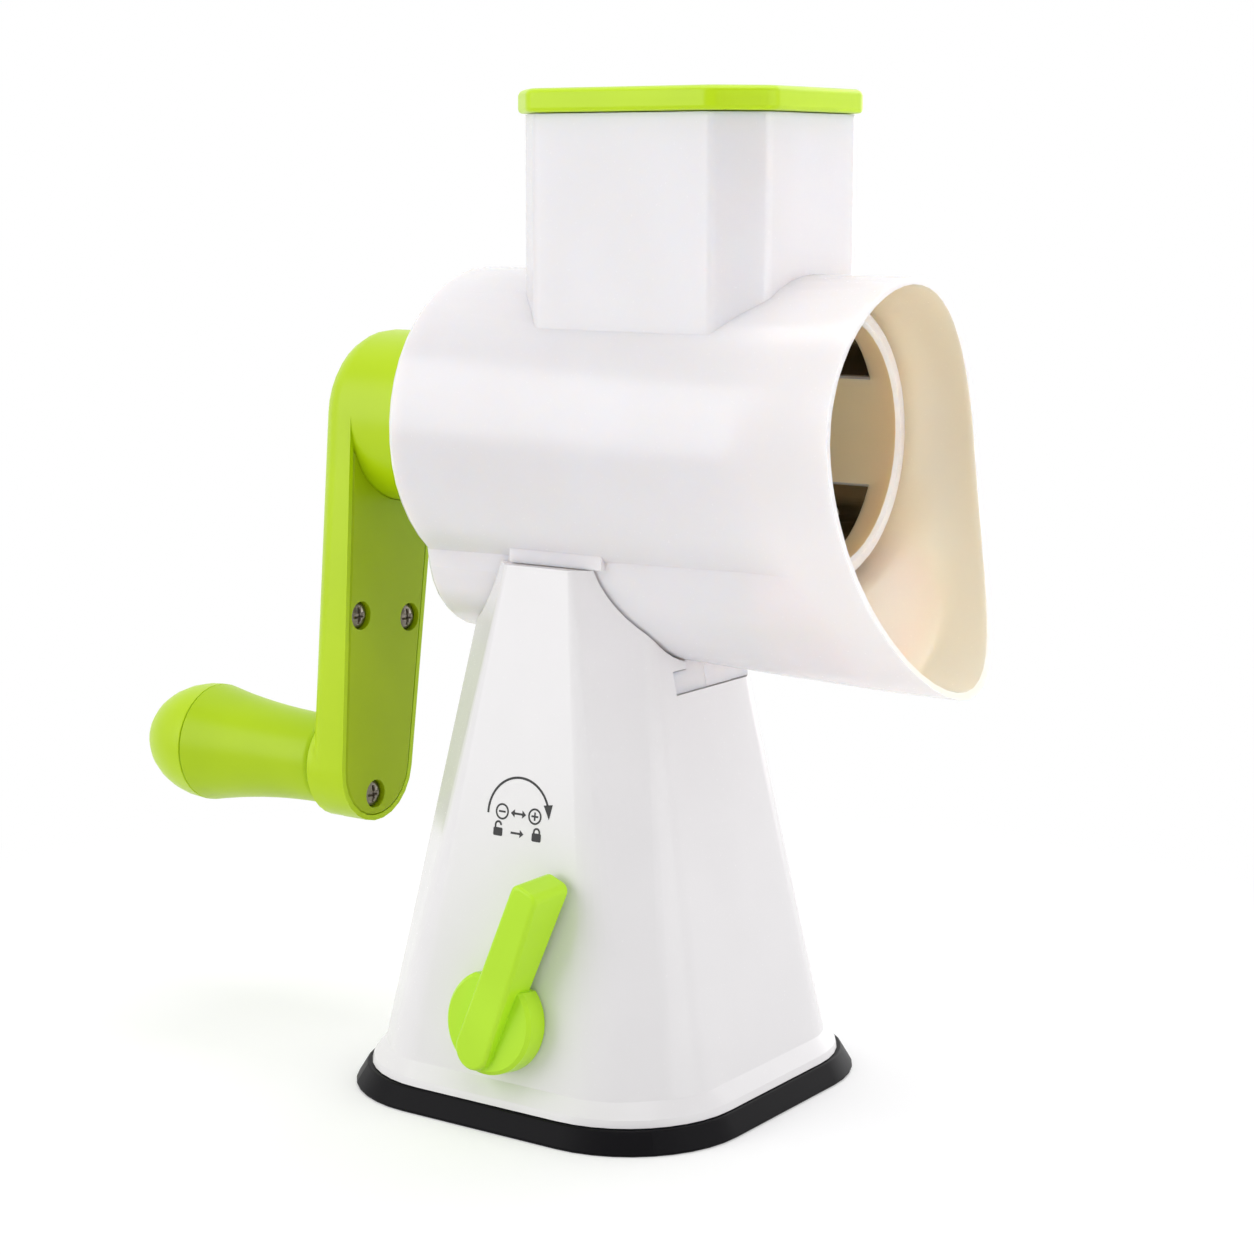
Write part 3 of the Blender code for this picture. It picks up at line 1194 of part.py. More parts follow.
def make_mechanism_plate(base):
    """Plate screwed under the tower, with a window for the yoke and a bracket for the shaft."""
    top = PLATE_BOTTOM + PLATE_THICKNESS
    width = 2 * (TOWER_LOW_X - TOWER_WALL - 1.2 * MM)
    corner = TOWER_FOOT_CORNER - 8 * MM
    plate = loft("mechanism_plate", [square_section(width, corner, z) for z in (PLATE_BOTTOM, top)])
    clear = 1.0 * MM
    half_x = CAM_RADIUS + CAM_THROW + RUNNING_GAP + YOKE_WALL + clear
    half_y = max(YOKE_THICKNESS, CAM_THICKNESS) / 2 + clear
    y = cam_axis_y()
    window_low = (LEVER_X - half_x, y - half_y, PLATE_BOTTOM - 5 * MM)
    cut(plate, box("window", window_low, (LEVER_X + half_x, y + half_y, top + 5 * MM)))
    back = y + half_y + 1.5 * MM
    bracket_top = cam_axis_height() + CAM_SHAFT_RADIUS + 3 * MM
    bracket_high = (LEVER_X + BRACKET_HALF, back + BRACKET_THICKNESS, bracket_top)
    join(plate, box("bracket", (LEVER_X - BRACKET_HALF, back, top - 1 * MM), bracket_high))
    bore = CAM_SHAFT_RADIUS + RUNNING_GAP
    ends = (-CAM_SHAFT_LENGTH - 10 * MM, -CAM_DEPTH - CAM_THICKNESS / 2 - 1 * MM)
    hole = turned("bearing", [(x, bore) for x in ends], SMALL_STEPS)
    cut(plate, place_on_wall(hole))
    half = PLATE_SCREW_SPACING / 2
    for sx, sy in CORNERS:
        shank = SCREW_SHANK_RADIUS + GAP
        through = [(PLATE_BOTTOM - 5 * MM, shank), (top + 5 * MM, shank)]
        cut(plate, upright("hole", through, 12, (sx * half, sy * half)))
    return finish(plate, base, "natural_nylon", 30)


def make_plate_screws(base):
    """Four screws up through the plate into the tower's posts."""
    half = PLATE_SCREW_SPACING / 2
    seat = PLATE_BOTTOM - GAP
    profile = [
        (seat - SCREW_HEAD_HEIGHT, SCREW_HEAD_RADIUS * 0.6),
        (seat - SCREW_HEAD_HEIGHT * 0.5, SCREW_HEAD_RADIUS),
        (seat, SCREW_HEAD_RADIUS), (seat, SCREW_SHANK_RADIUS),
        (seat + 11 * MM, SCREW_SHANK_RADIUS), (seat + 12.5 * MM, SCREW_SHANK_RADIUS * 0.4),
    ]
    for index, (sx, sy) in enumerate(CORNERS):
        made = upright(f"plate_screw_{index + 1}", profile, 16, (sx * half, sy * half))
        finish(made, base, "bright_steel")


def main():
    for old in list(bpy.data.objects):
        bpy.data.objects.remove(old)

    whole = group_at("slicer", (-WHOLE_MIDDLE_X, -WHOLE_MIDDLE_Y, 0))
    base = group_at("base_group", (0, 0, 0), parent=whole)
    make_suction_pad(base)
    make_tower(base)
    make_mechanism_plate(base)
    make_plate_screws(base)

    lever = group_at("lever_group", lever_origin(), (math.pi / 2 - wall_lean(), 0, 0), whole)
    turned_lever = group_at("lever_turn", (0, 0, 0), (0, 0, -LEVER_TILT), lever)
    make_lever_knob(turned_lever)
    make_cam_shaft(turned_lever)
    make_pull_rod(group_at("rod_group", (LEVER_X, cam_axis_y(), cam_axis_height()), parent=whole))

    housing = group_at("housing_group", (0, 0, 0), parent=whole)
    make_housing(housing)
    make_bush(housing)
    pusher = group_at("pusher_group", (0, 0, 0), parent=whole)
    make_pusher_cap(pusher)
    make_pusher_body(pusher)

    crank = group_at("crank_group", (0, 0, AXIS_HEIGHT), (-CRANK_TILT, 0, 0), whole)
    make_crank_arm(crank)
    make_crank_cover(crank)
    make_arm_screws(crank)
    make_drive_shaft(crank)
    make_shaft_clip(crank)
    grip = group_at("grip_group", (0, 0, -CRANK_THROW), parent=crank)
    make_grip_pin(grip)
    make_grip(grip)
    make_grip_cap(grip)

    drum = group_at("drum_group", (0, 0, AXIS_HEIGHT), parent=whole)
    make_drum_cage(drum)
    for index in range(DRUM_RIBS):
        make_blade(drum, index)


main()
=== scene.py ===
"""Studio picture of a hand cranked drum slicer for vegetables.

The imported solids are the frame. This script shows a finer, moulded copy of each solid that can
be seen, gives every node its finish, and adds what the solids leave out: the raised cutters and
the torn burrs of the blades, the cross heads of the crank's screws and the printed turning mark.
All lengths are in metres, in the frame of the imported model.
"""

import json
import logging
import math
from dataclasses import dataclass, field
from enum import Enum
from typing import Callable, Iterator, Optional, Sequence

import bmesh
import bpy
from mathutils import Euler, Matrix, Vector


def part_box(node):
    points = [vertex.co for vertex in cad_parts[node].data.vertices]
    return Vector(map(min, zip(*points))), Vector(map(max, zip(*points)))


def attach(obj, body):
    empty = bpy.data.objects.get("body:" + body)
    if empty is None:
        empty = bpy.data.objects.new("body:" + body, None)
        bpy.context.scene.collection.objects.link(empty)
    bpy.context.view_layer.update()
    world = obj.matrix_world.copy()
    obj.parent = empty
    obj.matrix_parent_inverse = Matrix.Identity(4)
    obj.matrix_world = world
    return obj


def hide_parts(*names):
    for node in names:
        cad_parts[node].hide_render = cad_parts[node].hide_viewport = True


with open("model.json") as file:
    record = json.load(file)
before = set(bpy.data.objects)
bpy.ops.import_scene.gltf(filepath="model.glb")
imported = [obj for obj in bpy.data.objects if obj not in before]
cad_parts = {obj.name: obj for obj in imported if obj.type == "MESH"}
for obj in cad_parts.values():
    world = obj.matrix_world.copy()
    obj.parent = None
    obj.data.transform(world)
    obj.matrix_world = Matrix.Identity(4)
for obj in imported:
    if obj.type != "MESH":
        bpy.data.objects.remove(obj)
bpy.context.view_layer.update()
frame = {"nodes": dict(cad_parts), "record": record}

MM = 0.001
LOG = logging.getLogger("slicer")

Point = tuple[float, float]
Triple = tuple[float, float, float]


class Body(str, Enum):
    """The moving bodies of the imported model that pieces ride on."""

    BASE = "base"
    LEVER = "suction_lever"
    HOUSING = "housing"
    PUSHER = "pusher"
    CRANK = "crank"
    GRIP = "grip"
    DRUM = "drum"


class Slot(str, Enum):
    """The record's material slots."""

    WHITE = "white_abs"
    GREEN = "green_abs"
    RUBBER = "black_rubber"
    BLADE = "blade_steel"
    STEEL = "bright_steel"
    NYLON = "natural_nylon"


def linear(code: str) -> tuple[float, float, float, float]:
    """Turns an sRGB hex colour into linear light.

    Args:
        code: The colour as six hex digits after a hash sign.

    Returns:
        Red, green, blue and an alpha of 1.
    """
    values = [int(code[i:i + 2], 16) / 255 for i in (1, 3, 5)]
    lit = [v / 12.92 if v <= 0.04045 else ((v + 0.055) / 1.055) ** 2.4 for v in values]
    return lit[0], lit[1], lit[2], 1.0


def per_metre(size_mm: float) -> float:
    """Noise scale at which one feature is about size_mm across."""
    return 1.0 / (size_mm * MM)


def add_node(
    tree: bpy.types.NodeTree, kind: str, inputs: Optional[dict] = None, **settings: object,
) -> bpy.types.Node:
    """Adds one node with its settings and links.

    Args:
        tree: The node tree to add it to.
        kind: The node's type name.
        inputs: Values or sockets for its inputs, by input name or number.
        **settings: Attributes of the node itself.

    Returns:
        The new node.
    """
    node = tree.nodes.new(kind)
    for name, value in settings.items():
        setattr(node, name, value)
    for socket, value in (inputs or {}).items():
        if isinstance(value, bpy.types.NodeSocket):
            tree.links.new(value, node.inputs[socket])
        else:
            node.inputs[socket].default_value = value
    return node


class Surface:
    """A material in the making: its tree, its shader and the place of a point on the object."""

    def __init__(self, name: str) -> None:
        """Starts a material.

        Args:
            name: Its name.
        """
        self.material = bpy.data.materials.new(name)
        self.material.use_nodes = True
        self.tree = self.material.node_tree
        self.shader = self.tree.nodes["Principled BSDF"]
        self.place = add_node(self.tree, "ShaderNodeTexCoord").outputs["Object"]

    def hold(self, constants: dict[str, object]) -> None:
        """Sets what is the same all over the surface on the shader's own sockets.

        Args:
            constants: Values by the name of their socket.
        """
        for name, value in constants.items():
            self.shader.inputs[name].default_value = value

    def mottle(
        self, pattern: bpy.types.NodeSocket, limits: Point, most: float, colours: tuple[str, str],
    ) -> bpy.types.NodeSocket:
        """Mixes two colours by a pattern.

        Args:
            pattern: The pattern.
            limits: Its values where the second colour starts and where most of it shows.
            most: Share of the second colour there.
            colours: The two colours as hex codes.

        Returns:
            The mixed colour.
        """
        share = add_node(
            self.tree, "ShaderNodeMapRange",
            {"Value": pattern, "From Min": limits[0], "From Max": limits[1], "To Max": most},
        ).outputs["Result"]
        return add_node(
            self.tree, "ShaderNodeMix",
            {"Factor": share, "A": linear(colours[0]), "B": linear(colours[1])}, data_type="RGBA",
        ).outputs[2]

    def paint(self, colour: bpy.types.NodeSocket) -> None:
        """Takes the base colour from a socket."""
        self.tree.links.new(colour, self.shader.inputs["Base Color"])

    def roughen(self, pattern: bpy.types.NodeSocket, low: float, high: float) -> None:
        """Varies the roughness by a pattern.

        Args:
            pattern: The pattern.
            low: Roughness at its lowest.
            high: Roughness at its highest.
        """
        rough = add_node(
            self.tree, "ShaderNodeMapRange", {"Value": pattern, "To Min": low, "To Max": high},
        ).outputs["Result"]
        self.tree.links.new(rough, self.shader.inputs["Roughness"])

    def emboss(self, pattern: bpy.types.NodeSocket, strength: float, height_mm: float) -> None:
        """Raises a pattern on the skin.

        Args:
            pattern: The pattern.
            strength: How much of it shows.
            height_mm: Its height.
        """
        bump = add_node(
            self.tree, "ShaderNodeBump",
            {"Strength": strength, "Distance": height_mm * MM, "Height": pattern},
        )
        self.tree.links.new(bump.outputs["Normal"], self.shader.inputs["Normal"])


@dataclass(frozen=True)
class MouldedPlastic:
    """Injection moulded thermoplastic, coloured right through.

    Attributes:
        name: Name of the material.
        colour: Colour of the bulk.
        flow: Colour where the melt cooled last, a shade off the bulk.
        roughness: Mean roughness of the skin.
        roughness_play: How far it strays from the mean, as a share.
        skin_mm: Size of the mould's polish marks, drawn coarse enough to show.
        skin_depth_mm: Height of those marks.
        flow_mm: Size of the cloudy patches between the two colours.
        coat: Weight of the clear, glossy top skin.
        coat_roughness: Roughness of that skin.
        inside: Colour painted on the faces that look towards the drum's axis, if another one: a painted warm
            bounce light, standing in for the light that bounces round in the chamber.
        inward_mm: Where that colour starts and is full, on the distance to the axis times the normal.
        rim_turn: A face whose normal points further along X than this keeps the colour of the outside.
        rim_soft: Width of the step between the two.
        depth_mm: How far light gets into it, which warms the inner side of a thin wall.
        gleam: Strength of its own reflection, less where fine mould marks break it up.
    """

    name: str
    colour: str
    flow: str
    roughness: float = 0.3
    roughness_play: float = 0.12
    skin_mm: float = 0.7
    skin_depth_mm: float = 0.004
    flow_mm: float = 26.0
    coat: float = 0.0
    coat_roughness: float = 0.08
    inside: Optional[str] = None
    inward_mm: Point = (2.0, -8.0)
    rim_turn: float = 0.86
    rim_soft: float = 0.11
    depth_mm: float = 0.0
    gleam: float = 0.5

    def make(self) -> bpy.types.Material:
        """Builds the material.

        Returns:
            The material.
        """
        surface = Surface(self.name)
        tree, place = surface.tree, surface.place
        clouds = add_node(
            tree, "ShaderNodeTexNoise",
            {"Vector": place, "Scale": per_metre(self.flow_mm), "Detail": 1.0},
        ).outputs["Fac"]
        marks = add_node(
            tree, "ShaderNodeTexNoise",
            {"Vector": place, "Scale": per_metre(self.skin_mm), "Detail": 2.0},
        ).outputs["Fac"]
        colour = surface.mottle(clouds, (0.35, 0.65), 1.0, (self.colour, self.flow))
        # The chamber's inner faces get a painted bounce light: a warm colour mixed in where they face the
        # axis
        surface.paint(self.paint_bounce_light_inside(surface, colour) if self.inside else colour)
        surface.roughen(
            marks, self.roughness * (1 - self.roughness_play), self.roughness * (1 + self.roughness_play),
        )
        surface.emboss(marks, 0.6, self.skin_depth_mm)
        surface.hold({"IOR": 1.53, "Specular IOR Level": self.gleam})
        surface.hold({"Coat Weight": self.coat, "Coat Roughness": self.coat_roughness})
        if self.depth_mm:
            # Red light gets furthest into white ABS and blue the least
            surface.hold({"Subsurface Weight": 1.0, "Subsurface Radius": (1.0, 0.86, 0.72)})
            surface.hold({"Subsurface Scale": self.depth_mm * MM})
        return surface.material

    def paint_bounce_light_inside(self, surface: Surface, outside: bpy.types.NodeSocket) -> bpy.types.NodeSocket:
        """Mixes in a painted warm bounce light, as colour, where a face looks towards the drum's axis.

        Args:
            surface: The material in the making.
            outside: The colour of the outside.

        Returns:
            The mixed colour.
        """
        tree = surface.tree
        axis = DrumAxis()
        normal = add_node(tree, "ShaderNodeTexCoord").outputs["Normal"]
        from_axis = add_node(
            tree, "ShaderNodeVectorMath", {0: surface.place, 1: (0.0, axis.y, axis.z)}, operation="SUBTRACT",
        ).outputs[0]
        across = add_node(
            tree, "ShaderNodeVectorMath", {0: from_axis, 1: (0.0, 1.0, 1.0)}, operation="MULTIPLY",
        ).outputs[0]
        away = add_node(tree, "ShaderNodeVectorMath", {0: across}, operation="LENGTH").outputs["Value"]
        along = add_node(tree, "ShaderNodeSeparateXYZ", {"Vector": surface.place}).outputs["X"]
        chamber = add_node(tree, "ShaderNodeMath", {0: away, 1: axis.chamber_radius}, operation="LESS_THAN")
        mouth = add_node(tree, "ShaderNodeMath", {0: along, 1: axis.mouth_start}, operation="GREATER_THAN")
        share = add_node(
            tree, "ShaderNodeMath", {0: chamber.outputs[0], 1: mouth.outputs[0]}, operation="MAXIMUM",
        ).outputs[0]
        outward = add_node(
            tree, "ShaderNodeVectorMath", {0: across, 1: normal}, operation="DOT_PRODUCT",
        ).outputs["Value"]
        turn = add_node(tree, "ShaderNodeSeparateXYZ", {"Vector": normal}).outputs["X"]
        starts = (outward, self.inward_mm[0] * MM, self.inward_mm[1] * MM)
        rim = (turn, self.rim_turn + self.rim_soft, self.rim_turn)
        for value, none, full in (starts, rim):
            step = add_node(
                tree, "ShaderNodeMapRange", {"Value": value, "From Min": none, "From Max": full},
                interpolation_type="SMOOTHSTEP",
            )
            share = add_node(
                tree, "ShaderNodeMath", {0: share, 1: step.outputs["Result"]}, operation="MULTIPLY",
            ).outputs[0]
        # Painted bounce light: this colour stands in for warm light bounced round in the chamber
        return add_node(
            tree, "ShaderNodeMix",
            {"Factor": share, "A": outside, "B": linear(self.inside)}, data_type="RGBA",
        ).outputs[2]


@dataclass(frozen=True)
class MouldedRubber:
    """Compression moulded synthetic rubber with a matt, slightly dusty skin.

    Attributes:
        gleam: Strength of its reflection.
        grain_mm: Size of the mould's grain, drawn coarse enough to show.
        cloud_mm: Size of the dusty patches.
    """

    name: str = "nitrile_rubber_black"
    gleam: float = 0.09
    colour: str = "#0c0b0e"
    dust: str = "#151417"
    roughness: float = 0.42
    grain_mm: float = 0.9
    grain_depth_mm: float = 0.03
    cloud_mm: float = 22.0

    def make(self) -> bpy.types.Material:
        """Builds the material.

        Returns:
            The material.
        """
        surface = Surface(self.name)
        tree, place = surface.tree, surface.place
        grain = add_node(
            tree, "ShaderNodeTexNoise",
            {"Vector": place, "Scale": per_metre(self.grain_mm), "Detail": 3.0},
        ).outputs["Fac"]
        dusty = add_node(
            tree, "ShaderNodeTexNoise",
            {"Vector": place, "Scale": per_metre(self.cloud_mm), "Detail": 2.0},
        ).outputs["Fac"]
        surface.paint(surface.mottle(dusty, (0.45, 0.75), 0.45, (self.colour, self.dust)))
        surface.roughen(dusty, self.roughness - 0.05, self.roughness + 0.08)
        surface.emboss(grain, 0.5, self.grain_depth_mm)
        surface.hold({"IOR": 1.45, "Specular IOR Level": self.gleam})
        return surface.material


@dataclass(frozen=True)
class RolledSteel:
    """Steel sheet or wire with the fine lines that rolling or turning leaves.

    Attributes:
        name: Name of the material.
        colour: Colour of the clean metal.
        tarnish: Colour of its duller patches.
        roughness: Mean roughness.
        line_mm: Distance between the lines, drawn coarse enough to show.
        line_axis: The axis that the lines run along.
        line_length: Length of a line, in widths.
        line_depth_mm: Height of the lines.
        patch_mm: Size of the duller patches.
    """

    name: str
    colour: str
    tarnish: str
    roughness: float
    line_mm: float = 0.25
    line_axis: int = 0
    line_length: float = 50.0
    line_depth_mm: float = 0.01
    patch_mm: float = 5.0

    def make(self) -> bpy.types.Material:
        """Builds the material.

        Returns:
            The material.
        """
        surface = Surface(self.name)
        tree, place = surface.tree, surface.place
        stretch = [1.0, 1.0, 1.0]
        stretch[self.line_axis] = 1 / self.line_length
        drawn = add_node(tree, "ShaderNodeVectorMath", {0: place, 1: tuple(stretch)}, operation="MULTIPLY")
        lines = add_node(
            tree, "ShaderNodeTexNoise",
            {"Vector": drawn.outputs[0], "Scale": per_metre(self.line_mm), "Detail": 2.0},
        ).outputs["Fac"]
        patches = add_node(
            tree, "ShaderNodeTexNoise",
            {"Vector": place, "Scale": per_metre(self.patch_mm), "Detail": 2.0},
        ).outputs["Fac"]
        surface.paint(surface.mottle(patches, (0.0, 1.0), 1.0, (self.colour, self.tarnish)))
        surface.roughen(lines, self.roughness * 0.75, self.roughness * 1.3)
        surface.emboss(lines, 0.4, self.line_depth_mm)
        surface.hold({"Metallic": 1.0})
        return surface.material


@dataclass(frozen=True)
class PrintedInk:
    """Pad printed black ink, a thin satin film with slightly uneven cover."""

    name: str = "pad_printed_ink_black"
    colour: str = "#0b0b0c"
    thin: str = "#1e1e20"
    patch_mm: float = 0.6
    roughness: float = 0.45

    def make(self) -> bpy.types.Material:
        """Builds the material.

        Returns:
            The material.
        """
        surface = Surface(self.name)
        cover = add_node(
            surface.tree, "ShaderNodeTexNoise",
            {"Vector": surface.place, "Scale": per_metre(self.patch_mm), "Detail": 2.0},
        )
        surface.paint(surface.mottle(cover.outputs["Fac"], (0.5, 0.8), 0.5, (self.colour, self.thin)))
        surface.hold({"Roughness": self.roughness})
        return surface.material


class Finishes:
    """One material for each finish of the slicer."""

    def __init__(self) -> None:
        """Makes them all."""
        # Glossy white ABS: a hard, nearly neutral white with soft edged reflections
        self.white = MouldedPlastic(
            "white_abs_gloss", "#efedee", "#edebec", roughness=0.26, coat=0.06, gleam=0.42,
        ).make()
        # The same ABS on the drum chamber, with a warm cream painted on the faces in the chamber and the
        # mouth: painted bounce light
        self.housing = MouldedPlastic(
            "white_abs_housing", "#f0eaec", "#eee8e9", roughness=0.26, coat=0.12, inside="#f9e8d6",
            depth_mm=5.0,
        ).make()
        # White ABS of the drum, with a warm tan painted on its inner faces: painted bounce light, where light
        # bounces round within its closed wall
        self.cream = MouldedPlastic(
            "white_abs_drum", "#f3efec", "#f0ebe7", roughness=0.32, inside="#fde3bd", depth_mm=4.0,
            rim_turn=0.35,
        ).make()
        # Lime green ABS from a satin polished mould: broad, soft highlights
        self.green = MouldedPlastic(
            "lime_abs_satin", "#bbdb04", "#b7d703", roughness=0.34, skin_depth_mm=0.005, gleam=0.28,
        ).make()
        # The cover is the arm's lime ABS painted a shade deeper: painted shade, as its face gets less light
        self.cover = MouldedPlastic(
            "lime_abs_cover_painted_shade", "#a8c202", "#a3bd02", roughness=0.36, skin_depth_mm=0.005, gleam=0.22,
        ).make()
        # The lever comes from another batch, a purer green with a little more polish
        self.lever = MouldedPlastic("lime_abs_lever", "#bff02a", "#bbeb25", roughness=0.3, gleam=0.32).make()
        # The lid is given a slightly lighter green than the crank, and the grip a slightly darker one
        self.lid = MouldedPlastic(
            "lime_abs_lid", "#c3e604", "#bfe203", roughness=0.32, skin_depth_mm=0.005, gleam=0.3,
        ).make()
        self.grip = MouldedPlastic(
            "lime_abs_grip", "#b2d203", "#adcd02", roughness=0.36, skin_depth_mm=0.005, gleam=0.26,
        ).make()
        self.rubber = MouldedRubber().make()
        # Cold rolled stainless sheet, mirror like between its lines, dark where it sees the chamber; its
        # colour is also painted darker and browner than clean steel, a painted reflection of the dim tan
        # chamber
        self.blade = RolledSteel("stainless_sheet_rolled_painted_reflection", "#a39a8c", "#7f766a", 0.18, line_mm=0.3).make()
        # The torn rims of the punched holes, dull, and painted paler than the sheet: a painted glint where
        # the rims catch the light
        self.burr = RolledSteel("stainless_burr_painted_glint", "#e2dccf", "#c9c2b4", 0.5, line_mm=0.2).make()
        # Zinc plated screws whose passivation has dulled them to a warm grey
        self.screw = RolledSteel("passivated_zinc_screw", "#a59d92", "#6d675f", 0.3, line_mm=0.2).make()
        # Zinc plated steel of the inner screws and pins: brighter and colder than the blades
        self.zinc = RolledSteel("zinc_plated_steel", "#c4c6c8", "#a3a5a8", 0.3, line_mm=0.2).make()
        # Uncoloured nylon: milky, with a dull skin
        self.nylon = MouldedPlastic("natural_nylon", "#e2dccb", "#dcd5c1", roughness=0.5, skin_mm=1.0).make()
        self.ink = PrintedInk().make()

    def of_node(self, name: str, slot: str) -> bpy.types.Material:
        """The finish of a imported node.

        Args:
            name: The node's name.
            slot: Its material slot in the record.

        Returns:
            The material for it.
        """
        if name == "drum_housing":
            return self.housing
        if name == "drum_cage":
            return self.cream
        return {
            Slot.WHITE: self.white, Slot.GREEN: self.green, Slot.RUBBER: self.rubber,
            Slot.BLADE: self.blade, Slot.STEEL: self.zinc, Slot.NYLON: self.nylon,
        }[Slot(slot)]


@dataclass(frozen=True)
class DrumAxis:
    """The line along X that the drum, its housing and the crank share.

    Attributes:
        y: Its place across the slicer.
        z: Its height over the table.
        shift_x: Place of the base's middle, from which lengths along the axis are measured.
        chamber_radius: All within this radius is inside the chamber.
        mouth_start: All beyond this, along X, belongs to the flared mouth.
    """

    y: float = 0.7 * MM
    z: float = 189.4 * MM
    shift_x: float = 22.4 * MM
    chamber_radius: float = 43.0 * MM
    mouth_start: float = 97.0 * MM

    def at(self, x: float, radius: float, angle: float) -> Vector:
        """A point at a radius and an angle round the axis, with x measured from the base's middle."""
        y, z = self.y + radius * math.cos(angle), self.z + radius * math.sin(angle)
        return Vector((x + self.shift_x, y, z))


@dataclass(frozen=True)
class FrontWall:
    """The leaning front panel of the tower, which carries the mark and the lever."""

    half_width_low: float = 54.5 * MM
    half_width_top: float = 33.8 * MM
    low: float = 12.5 * MM
    top: float = 158.7 * MM
    middle_x: float = 22.4 * MM
    middle_y: float = 0.7 * MM

    def lean(self) -> float:
        """How far the panel leans back from upright."""
        return math.atan2(self.half_width_low - self.half_width_top, self.top - self.low)

    def at(self, across: float, up: float, out: float) -> Vector:
        """A point on the panel.

        Args:
            across: Distance to the right of the tower's middle.
            up: Height over the table.
            out: Distance off the panel.

        Returns:
            The point, in the frame of the model.
        """
        lean = self.lean()
        half = self.half_width_low - (up - self.low) * math.tan(lean)
        return Vector((
            self.middle_x + across, self.middle_y - half - out * math.cos(lean), up + out * math.sin(lean),
        ))


@dataclass(frozen=True)
class WideEdges:
    """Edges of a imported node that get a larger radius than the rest.

    Attributes:
        radius_mm: Their radius.
        holds: Tells whether an edge's middle is one of theirs.
        weld_mm: Corners closer together than this become one, so that the radius fits.
    """

    radius_mm: float
    holds: Callable[[Vector], bool]
    weld_mm: float = 0.6

    def chosen(self, bm: bmesh.types.BMesh, angle: float) -> list[bmesh.types.BMEdge]:
        """The hard edges among them.

        Args:
            bm: The mesh.
            angle: Angle in degrees over which an edge is hard.

        Returns:
            The edges.
        """
        return [
            edge for edge in bm.edges
            if len(edge.link_faces) == 2 and edge.calc_face_angle() > math.radians(angle)
            and self.holds((edge.verts[0].co + edge.verts[1].co) / 2)
        ]

    def round_off(self, mesh: bpy.types.Mesh, angle: float) -> None:
        """Rounds the edges of a mesh.

        Args:
            mesh: The mesh.
            angle: Angle in degrees over which an edge is rounded.
        """
        bm = bmesh.new()
        bm.from_mesh(mesh)
        # The weld keeps the first of two corners, and a dict keeps them in one order where a set doesn't
        corners = dict.fromkeys(vert for edge in self.chosen(bm, angle) for vert in edge.verts)
        bmesh.ops.remove_doubles(bm, verts=list(corners), dist=self.weld_mm * MM)
        bmesh.ops.bevel(
            bm, geom=self.chosen(bm, angle), offset=self.radius_mm * MM, offset_type="OFFSET", segments=4,
            profile=0.5, affect="EDGES", clamp_overlap=True,
        )
        bm.to_mesh(mesh)
        bm.free()


